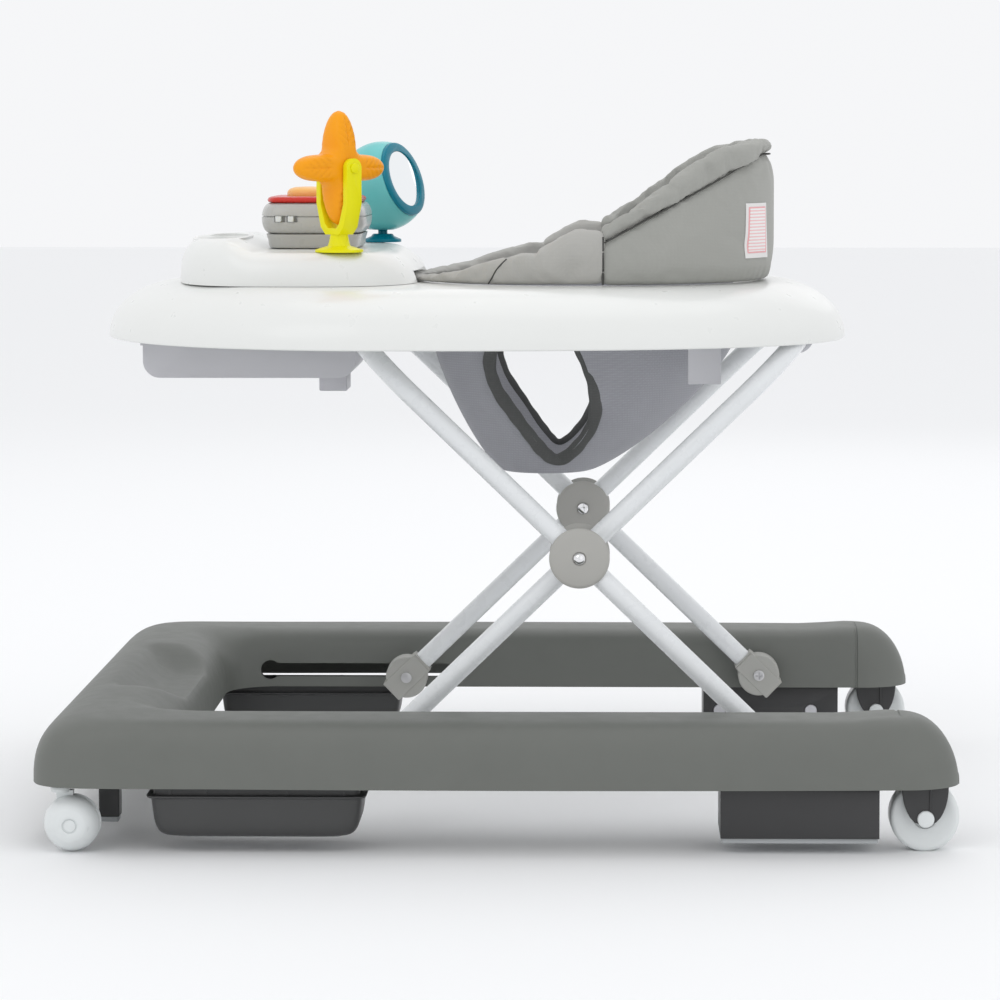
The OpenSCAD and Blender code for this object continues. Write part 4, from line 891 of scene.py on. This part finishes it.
# %% Blow up the panels
def inflate(obj, held, reach, slack, force=4.0):
    """Remeshes a closed form, blows it up as cloth and caps how far each point may travel."""
    remesh = obj.modifiers.new("even mesh", "REMESH")
    remesh.mode = "VOXEL"
    remesh.voxel_size = 0.0045
    bpy.context.view_layer.update()
    settle(obj)
    start = np.array([v.co[:] for v in obj.data.vertices]) * MM
    group = obj.vertex_groups.new(name="sewn")
    group.add([i for i, p in enumerate(start) if held(p)], 1.0, "REPLACE")
    cloth = obj.modifiers.new("cloth", "CLOTH")
    rules = cloth.settings
    rules.quality = 6
    rules.mass = 0.25
    rules.use_pressure = True
    rules.uniform_pressure_force = force
    rules.shrink_min = -slack
    rules.tension_stiffness = rules.compression_stiffness = 14
    rules.bending_stiffness = 0.4
    rules.vertex_group_mass = "sewn"
    rules.effector_weights.gravity = 0
    cloth.collision_settings.use_collision = False
    cloth.point_cache.frame_start, cloth.point_cache.frame_end = 1, 20
    scene = bpy.context.scene
    for step in range(1, 21):
        scene.frame_set(step)
    settle(obj)
    scene.frame_set(1)
    moved = np.array([v.co[:] for v in obj.data.vertices]) * MM - start
    travel = np.linalg.norm(moved, axis=1)
    moved *= (np.minimum(travel, reach) / np.maximum(travel, 1e-6))[:, None]
    end = start + moved
    for vertex, p in zip(obj.data.vertices, end):
        vertex.co = Vector(p) / MM
    obj.vertex_groups.clear()
    print(f"{obj.name}: {len(end)} points, travel {travel.max():.1f} mm")


def tuck(obj, outward, inward, floor):
    """Keeps a puffed piece between the tray, the sling and its own outline."""
    for vertex in obj.data.vertices:
        x, y, z = np.array(vertex.co) * MM
        share = (abs((x - seat_x) / SEAT_A) ** SEAT_N + abs(y / SEAT_B) ** SEAT_N) ** (1 / SEAT_N)
        kept = min(max(share, 1 - inward / 154), 1 + outward / 154) / max(share, 1e-6)
        vertex.co = Vector((seat_x + (x - seat_x) * kept, y * kept, max(z, floor))) / MM


def pad(name, shape, held, reach, slack, outward, inward, material, stands_for=()):
    obj = make(name, shape, None, material, sharp=180)
    inflate(obj, held, reach, slack)
    tuck(obj, outward, inward, pad_base + 0.05)
    finer = obj.modifiers.new("finer", "SUBSURF")
    finer.levels = finer.render_levels = 1
    bpy.context.view_layer.update()
    settle(obj)
    obj.data.shade_smooth()
    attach(obj, "tray")
    if stands_for:
        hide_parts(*stands_for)
    return obj


def seam_z(x):
    """Height of the seam between the back panel and its roll."""
    return height(SEAM_HEIGHTS, x)


back = pad("seat_back_panel", panel(-BACK_ANGLE, BACK_ANGLE, lambda x: pad_base + 0.4,
    lambda x: seam_z(x) + 0.2, 3.0, 17.5, 6.0),
    lambda p: p[2] < pad_base + 5 or p[2] > seam_z(p[0]) - 5, 5, 0.02, 0.6, 20.4, seat_cloth,
    ["seat_back_pad"])
roll = pad("seat_back_roll", panel(-BACK_ANGLE, BACK_ANGLE, lambda x: seam_z(x) - 0.1,
    lambda x: height(ROLL_HEIGHTS, x) - 3, 2.4, 19, 2.8),
    lambda p: p[2] < seam_z(p[0]) + 3.5, 6, 0.10, 3.0, 25, seat_cloth)
band = pad("seat_front_panel", panel(BAND_START, 360 - BAND_START, lambda x: pad_base + 0.3,
    lambda x: height(BAND_HEIGHTS, x) - 1.5,
    3.0, 17.5, 3.2), lambda p: p[2] < pad_base + 3.0, 5, 0.07, 0.7, 21, band_cloth,
    ["seat_front_band"])


# %% Lay dark cords along the seams as painted shade
def surface(*objs):
    """A tree of faces in millimetres, to lay threads and labels on."""
    points, faces = [], []
    for obj in objs:
        start = len(points)
        points += [Vector(v.co) * MM for v in obj.data.vertices]
        faces += [[i + start for i in f.vertices] for f in obj.data.polygons]
    return BVHTree.FromPolygons(points, faces)


wall = surface(back, roll, band)


def laid(angle, z, inside=False, lift=0.0):
    """The point of the wall's face at an angle round the seat and a height."""
    start, end, spare = (60, 15.5, 18.0) if inside else (-30, 4.5, 2.2)
    origin = Vector((*seat_edge(angle, start), z))
    reach = Vector((*seat_edge(angle, end), z)) - origin
    hit = wall.ray_cast(origin, reach.normalized(), reach.length)[0]
    if hit is None:
        hit = Vector((*seat_edge(angle, spare), z))
    return hit - reach.normalized() * lift


# Each seam is a dark cord laid on the wall's face, which paints the shade in the seam's crevice.
def seam(name, spots, radius, inside=False, lift=0.0):
    path = np.array([laid(a, z, inside, lift) for a, z in spots])
    for _ in range(4):
        path[1:-1] = (path[:-2] + 2 * path[1:-1] + path[2:]) / 4
    return make(name, Shape().sweep(path, radius, 8), "tray", painted_seam_shade, sharp=60)


seam("roll_seam", [(a, seam_z(seat_edge(a, 0)[0]))
    for a in np.linspace(-BACK_ANGLE + 0.8, BACK_ANGLE - 0.8, 220)], 0.6, False, -0.5)
seam("roll_seam_inside", [(a, seam_z(seat_edge(a, 0)[0]))
    for a in np.linspace(-BACK_ANGLE + 1.5, BACK_ANGLE - 1.5, 180)], 0.6, True, -0.5)
for side, name in ((-1, "left"), (1, "right")):
    joint = [(side * JOINT_ANGLE, z) for z in np.linspace(pad_base + 1, JOINT_TOP, 22)]
    seam(f"joint_seam_{name}", joint, 0.9, False, -0.4)
    lean = [(side * (118 - 3.2 * t - 3 * t * t), blend_between(pad_base + 1, height(BAND_HEIGHTS, 8) - 4, t))
        for t in np.linspace(0, 1, 18)]
    seam(f"front_seam_{name}", lean, 0.6)

# %% Sew on the label
LABEL_ANGLE, LABEL_TURN, LABEL_H = -28.5, 15.0, 44
label_z = pad_base + 20


def patch(low, high, z_low, z_high, lift, columns=14, rows=20):
    """A thin patch of cloth laid on the wall: shares of the label's width, heights, and how proud it lies."""
    points, quads = [], []
    for up in (lift - 0.3, lift + 0.25):
        for j in range(rows + 1):
            for i in range(columns + 1):
                share = blend_between(low, high, i / columns)
                z = blend_between(z_low, z_high, j / rows)
                curl = 4.8 * max(0.0, share - 0.75) * (1 - (z - label_z) / LABEL_H) ** 2
                points.append(tuple(laid(LABEL_ANGLE + (share - 0.5) * LABEL_TURN, z, False, up + curl)))
    side = (columns + 1) * (rows + 1)
    for j in range(rows):
        for i in range(columns):
            a = j * (columns + 1) + i
            quads.append((a, a + 1, a + columns + 2, a + columns + 1))
            quads.append(tuple(k + side for k in (a, a + columns + 1, a + columns + 2, a + 1)))
    border = list(range(columns + 1)) + [j * (columns + 1) + columns for j in range(1, rows + 1)]
    border += [rows * (columns + 1) + i for i in range(columns - 1, -1, -1)]
    border += [j * (columns + 1) for j in range(rows - 1, 0, -1)]
    for a, b in zip(border, border[1:] + border[:1]):
        quads.append((a, b, b + side, a + side))
    return Shape().add(points, quads)


label = make("seat_label_tape", patch(0, 1, label_z, label_z + LABEL_H, 0.5), "tray", ribbon,
    ["seat_label"], sharp=60)
frame_piece = make("seat_label_frame", patch(0.1, 0.93, label_z + 4, label_z + 41, 0.75), "tray", pink,
    sharp=60)
field = make("seat_label_field", patch(0.145, 0.885, label_z + 5.2, label_z + 39.8, 1.0), "tray",
    label_cloth, sharp=60)

# %% [markdown]
# ## The sling
# Under the opening hangs a bucket of mesh cloth with a hole for each leg. It is a single wall of cloth
# that sags between the holes, and dark tape is folded over the edges of the holes.
# %% Hang the sling
SLING_STEPS = 44
hole_top = (SEAT_A - PAD_T + 3.4, SEAT_B - PAD_T - 0.6)
low_x = seat_x - 34
SLING_T, SLING_FLOOR_T, SLING_PLAY = 1.3, 1.4, 1.2
LEG_EDGE = [(47, 285), (60, 296), (71, 315), (72, 336), (67, 357), (58, 376), (42, 390), (20, 391),
    (3, 380), (-4, 362), (1, 342), (14, 322), (27, 304), (38, 290)]


def sling_size(t):
    """Middle in x, half length, half width and height of the bucket, from its floor at 0 to its top at 1."""
    s = math.sin(math.pi / 2 * t) ** 0.8
    return (blend_between(low_x, seat_x, s), blend_between(40, hole_top[0], s),
        blend_between(60, hole_top[1], s), blend_between(sling_bottom, tray_top - 1, t))


def sling_wave(t, angle):
    """Shallow folds that run down the cloth and die out at the sewn top."""
    fold = math.sin(7 * angle + 2.2 * math.sin(2 * angle)) * 1.1 + math.sin(17 * angle + 5 * t) * 0.35
    return fold * math.sin(math.pi * min(1, t * 1.02)) ** 0.8


def sling_ring(t, gap):
    xc, a, b, z = sling_size(t)
    ring = []
    for angle in np.linspace(0, math.tau, 144, False):
        dip = sling_wave(t, angle) - gap - SLING_PLAY
        ring.append((xc + (a + dip) * signed_power(math.cos(angle), 2 / SEAT_N),
            (b + dip) * signed_power(math.sin(angle), 2 / SEAT_N), z))
    return ring


levels = [(i / SLING_STEPS) ** 1.5 for i in range(SLING_STEPS + 1)]
outside = [sling_ring(t, 0) for t in levels]
inside = [[(x, y, max(z, sling_bottom + SLING_FLOOR_T)) for x, y, z in sling_ring(t, SLING_T)]
    for t in levels]
floor_out = [[(low_x + (x - low_x) * s, y * s, sling_bottom + 0.6 * s ** 3) for x, y, z in outside[0]]
    for s in (0.06, 0.4, 0.75, 0.93)]
floor_in = [[(x, y, z + SLING_FLOOR_T) for x, y, z in ring] for ring in floor_out]
sling = make("sling_cloth", Shape().loft(floor_out + outside + inside[::-1] + floor_in[::-1]), None,
    sling_mesh, sharp=60)


def round_trip(knots, count, grow):
    """A smooth closed curve through its knots, set out from the middle by grow."""
    knots = np.array(knots, float)
    points = []
    for t in np.linspace(0, len(knots), count, False):
        k, u = int(t), t % 1
        a, b, c, d = (knots[(k + i) % len(knots)] for i in (-1, 0, 1, 2))
        points.append(0.5 * (2 * b + (c - a) * u + (2 * a - 5 * b + 4 * c - d) * u * u
            + (3 * b - a - 3 * c + d) * u ** 3))
    points = np.array(points)
    ahead = np.roll(points, -1, 0) - np.roll(points, 1, 0)
    out = np.stack([ahead[:, 1], -ahead[:, 0]], 1) / np.linalg.norm(ahead, axis=1)[:, None]
    return points + out * grow


cut(sling, Shape().loft([[(x, y, z) for x, z in round_trip(LEG_EDGE, 96, 3)] for y in (-170, 170)]), 60)
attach(sling, "tray")
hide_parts("seat_sling")


def on_sling(x, z, side):
    """The sling's outer face at a side view's point."""
    t = min(1.0, max(0.0, (z - sling_bottom) / (tray_top - 1 - sling_bottom)))
    xc, a, b, _ = sling_size(t)
    across = min(0.98, abs((x - xc) / (a - SLING_PLAY)))
    y = (b - SLING_PLAY) * (1 - across ** SEAT_N) ** (1 / SEAT_N)
    angle = math.atan2(y, x - xc)
    return side * (y + sling_wave(t, angle))


for side, name in ((-1, "left"), (1, "right")):
    path = []
    for k, (x, z) in enumerate(round_trip(LEG_EDGE, 160, 4.2)):
        path.append((x, on_sling(x, z, side) + side * 0.2 * math.sin(k * 0.35), z))
    path = np.array(path)
    rings = []
    for k, p in enumerate(path):
        ahead = path[(k + 1) % len(path)] - path[k - 1]
        spot = axes(p, ahead, (0, side, 0.25))
        width = 5.2 + 0.22 * math.sin(k * 0.75) + 0.2 * math.sin(k * 0.27)
        rings.append([spot((width * math.cos(a), 1.8 * math.sin(a) + 0.3, 0))
            for a in np.linspace(0, math.tau, 14, False)])
    make(f"leg_hole_tape_{name}", Shape().loft(rings, around=True), "tray", tape_cloth,
        ["leg_hole_binding"] if side < 0 else [], sharp=80)


def cut_area(rows=160, columns=240):
    """Square metres of the smooth, unfolded bucket less its leg holes, worked out from its sizes alone."""
    turns = np.linspace(0, math.tau, columns, False)
    grid = []
    for t in np.linspace(0, 1, rows):
        xc, a, b, z = sling_size(t)
        grid.append([(xc + a * signed_power(math.cos(w), 2 / SEAT_N),
            b * signed_power(math.sin(w), 2 / SEAT_N), z) for w in turns])
    grid = np.array(grid)
    right, up = np.roll(grid, -1, 1)[:-1] - grid[:-1], grid[1:] - grid[:-1]
    area = np.linalg.norm(np.cross(right, up), axis=2)
    spot = grid[:-1] + (right + up) / 2
    edge = round_trip(LEG_EDGE, 96, 3)
    in_hole = np.zeros(area.shape, bool)
    for (x, z), (u, w) in zip(edge, np.roll(edge, -1, 0)):
        if z != w:
            beside = (z > spot[..., 2]) != (w > spot[..., 2])
            crossing = (u - x) * (spot[..., 2] - z) / (w - z) + x
            in_hole ^= beside & (spot[..., 0] < crossing)
    rim = grid[0]
    floor = abs(np.sum(rim[:, 0] * np.roll(rim[:, 1], -1) - np.roll(rim[:, 0], -1) * rim[:, 1])) / 2
    return (np.sum(area[~in_hole]) + floor) / 1e6


cloth = cut_area()
print("sling cut", round(cloth, 4), "square metres; one face of its mesh",
    round(sum(f.area for f in sling.data.polygons) / 2, 4))

# %% [markdown]
# ## Toys
# A four-petalled spinner turns between the arms of its post, and the music box is a stack of rounded
# cases. The petals come from one polar formula, so they flow into each other without seams.
# %% Grow the star
star_middle = middle("star_spinner")
STAR_R, STAR_T, STAR_TURN = 45.0, 26.0, math.radians(-45)
turn_out = np.array([math.cos(STAR_TURN), math.sin(STAR_TURN), 0])
star_spot = axes(star_middle, turn_out)


def petal_reach(angle):
    return 19 + (STAR_R - 19) * abs(math.cos(2 * angle)) ** 3.4


def petal_face(angle, f):
    """Half the star's thickness at a share of the way out: a soft pillow with leaf veins pressed in."""
    reach = petal_reach(angle)
    r = f * reach
    turn = (angle + math.pi / 4) % (math.pi / 2) - math.pi / 4
    along, across = r * math.cos(turn), r * math.sin(turn)
    thick = STAR_T / 2 * (1 - f ** 5.5) ** 0.5 * (1 - 0.2 * ease(14, 45, r))
    veins = 0.9 * math.exp(-(across / 0.9) ** 2) + 0.6 * math.exp(
        -((((along - abs(across) * 0.9) % 6.0) - 3.0) / 0.9) ** 2)
    pressed = veins * ease(15, 21, r) * ease(0.98, 0.82, f)
    return max(thick - pressed, 0.0)


SPOKES, REACHES = 240, 40
star = Shape()
grid = []
for sign in (1, -1):
    for j in range(REACHES + 1):
        f = 0.0001 + (j / REACHES) ** 0.8 * 0.9999
        ring = []
        for k in range(SPOKES):
            angle = k * math.tau / SPOKES
            r = f * petal_reach(angle)
            ring.append(star_spot((r * math.cos(angle), r * math.sin(angle), sign * petal_face(angle, f))))
        grid.append(ring)
front, rear = grid[:REACHES + 1], grid[REACHES + 1:]
star.loft(front + rear[-2::-1])
make("star_petals", star, "star", toy_orange, ["star_spinner"], sharp=70)

# %% Stack the music box
toy_low, toy_high = corners("toy_upper_case")
toy_mid = (toy_low + toy_high) / 2
lower_low, lower_high = corners("toy_lower_case")
plate_low, plate_high = corners("toy_top_plate")
case_l, case_w = (toy_high[0] - toy_low[0]) / 2, (toy_high[1] - toy_low[1]) / 2
button_x = toy_mid[0] - 6
mid_z = toy_low[2] + 14.5


def case(profile, n=5.5):
    """A stack of rounded outlines: profile holds (inset, height) pairs."""
    return Shape().loft([[(x, y, z) for x, y in oval(toy_mid[0], 0, case_l - i, case_w - i, n, 112)]
        for i, z in profile])


def rounded(low, high, base_inset, bulge):
    """A pillow side: insets shrink and grow again in a half circle."""
    mid, half = (low + high) / 2, (high - low) / 2
    return [(base_inset + bulge * (1 - math.sqrt(max(0, 1 - ((z - mid) / half) ** 2)) ** 0.8), z)
        for z in [mid - half * math.cos(a) for a in np.linspace(0, math.pi, 22)]]


upper = rounded(toy_low[2], toy_high[2], 0, 8)
split_at = next(k for k, (i, z) in enumerate(upper) if z > mid_z)
upper[split_at:split_at] = [(upper[split_at][0], mid_z - 0.9), (upper[split_at][0] + 1.3, mid_z - 0.7),
    (upper[split_at][0] + 1.3, mid_z - 0.1), (upper[split_at][0], mid_z + 0.1)]
upper = sorted(upper, key=lambda p: p[1])
case_top = make("music_box_upper", case(upper), None, toy_grey, sharp=40)
for node in ("toy_switch_front", "toy_switch_rear"):
    low, high = corners(node)
    cut(case_top, Shape().block((low[0] - 0.4, low[1] - 2, low[2] + 1.1),
        (high[0] + 2.9, low[1] + 6.4, high[2] - 1.1)), 40)
cut(case_top, Shape().turn([(15.4, -6), (15.4, 6)],
    lambda p: (button_x + p[0], p[1], toy_high[2] + p[2]), 48), 40)
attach(case_top, "tray")
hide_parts("toy_upper_case")
lower = [(8.5, lower_low[2]), (6.2, lower_low[2] + 0.8), (5.4, lower_low[2] + 3),
    (5.0, lower_high[2] - 4.5), (4.2, lower_high[2] - 2.6), (3.6, lower_high[2])]
make("music_box_lower", case(lower), "tray", toy_grey, ["toy_lower_case"], sharp=45)
plate = [(6.8, plate_low[2]), (5.6, plate_low[2] + 0.2), (4.6, plate_low[2] + 1.2),
    (4.6, plate_high[2] - 2.4), (5.4, plate_high[2] - 0.9), (7.4, plate_high[2] - 0.1),
    (10, plate_high[2])]
red = make("music_box_top", case(plate), None, toy_red, sharp=45)
cut(red, Shape().turn([(19.5, -8), (19.5, 8)],
    lambda p: (button_x + p[0], p[1], plate_high[2] + p[2]), 64), 45)
soften_edges(red, 0.7, 45, 2)
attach(red, "tray")
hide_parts("toy_top_plate")
print("toys stacked")

# %% [markdown]
# ## Floor, light and camera
# A plain pale floor and big soft lights show form without drama. The camera stands a little above the
# tray, three metres to the child's left, with a long lens, so the near and far beams overlap only a little.
# %% Light the studio
def studio():
    scene = bpy.context.scene
    scene.view_settings.view_transform = "Standard"
    world = bpy.data.worlds.new("studio")
    world.use_nodes = True
    scene.world = world
    world.node_tree.nodes["Background"].inputs["Color"].default_value = (0.98, 0.985, 1.0, 1)
    world.node_tree.nodes["Background"].inputs["Strength"].default_value = 0.94
    floor_mesh = bpy.data.meshes.new("floor")
    reach = 14
    floor_mesh.from_pydata([(-reach, -reach, 0), (reach, -reach, 0), (reach, reach, 0), (-reach, reach, 0)],
        [], [(0, 1, 2, 3)])
    floor = bpy.data.objects.new("floor", floor_mesh)
    paint = Finish("floor_paint", (0.93, 0.935, 0.94), roughness=0.85)
    paint.bump(paint.noise(30), 0.05, 0.0001)
    floor_mesh.materials.append(paint.material)
    scene.collection.objects.link(floor)
    for name, place, size, power in (("key", (-1.6, -2.4, 2.6), 2.2, 9), ("fill", (1.8, -2.6, 1.2), 2.6, 3),
            ("top", (0.2, 0.6, 2.8), 2.4, 8), ("back", (0.6, 2.8, 1.8), 2.4, 4)):
        lamp = bpy.data.lights.new(name, "AREA")
        lamp.shape = "DISK"
        lamp.size = size
        lamp.energy = power
        obj = bpy.data.objects.new(name, lamp)
        obj.location = place
        obj.rotation_euler = (Vector((0, 0, 0.25)) - obj.location).to_track_quat("-Z", "Y").to_euler()
        scene.collection.objects.link(obj)


studio()
camera = bpy.data.cameras.new("camera")
camera.sensor_width = 36
camera.lens = 131.5
camera.clip_end = 60
viewer = bpy.data.objects.new("camera", camera)
viewer.location = (0.088, -3.019, 0.547)
camera.shift_x, camera.shift_y = -0.05, -0.13
viewer.rotation_euler = (math.radians(90 - 3.76), 0, math.radians(0.94))
bpy.context.scene.collection.objects.link(viewer)
bpy.context.scene.camera = viewer
print("camera at", tuple(round(c, 3) for c in viewer.location))
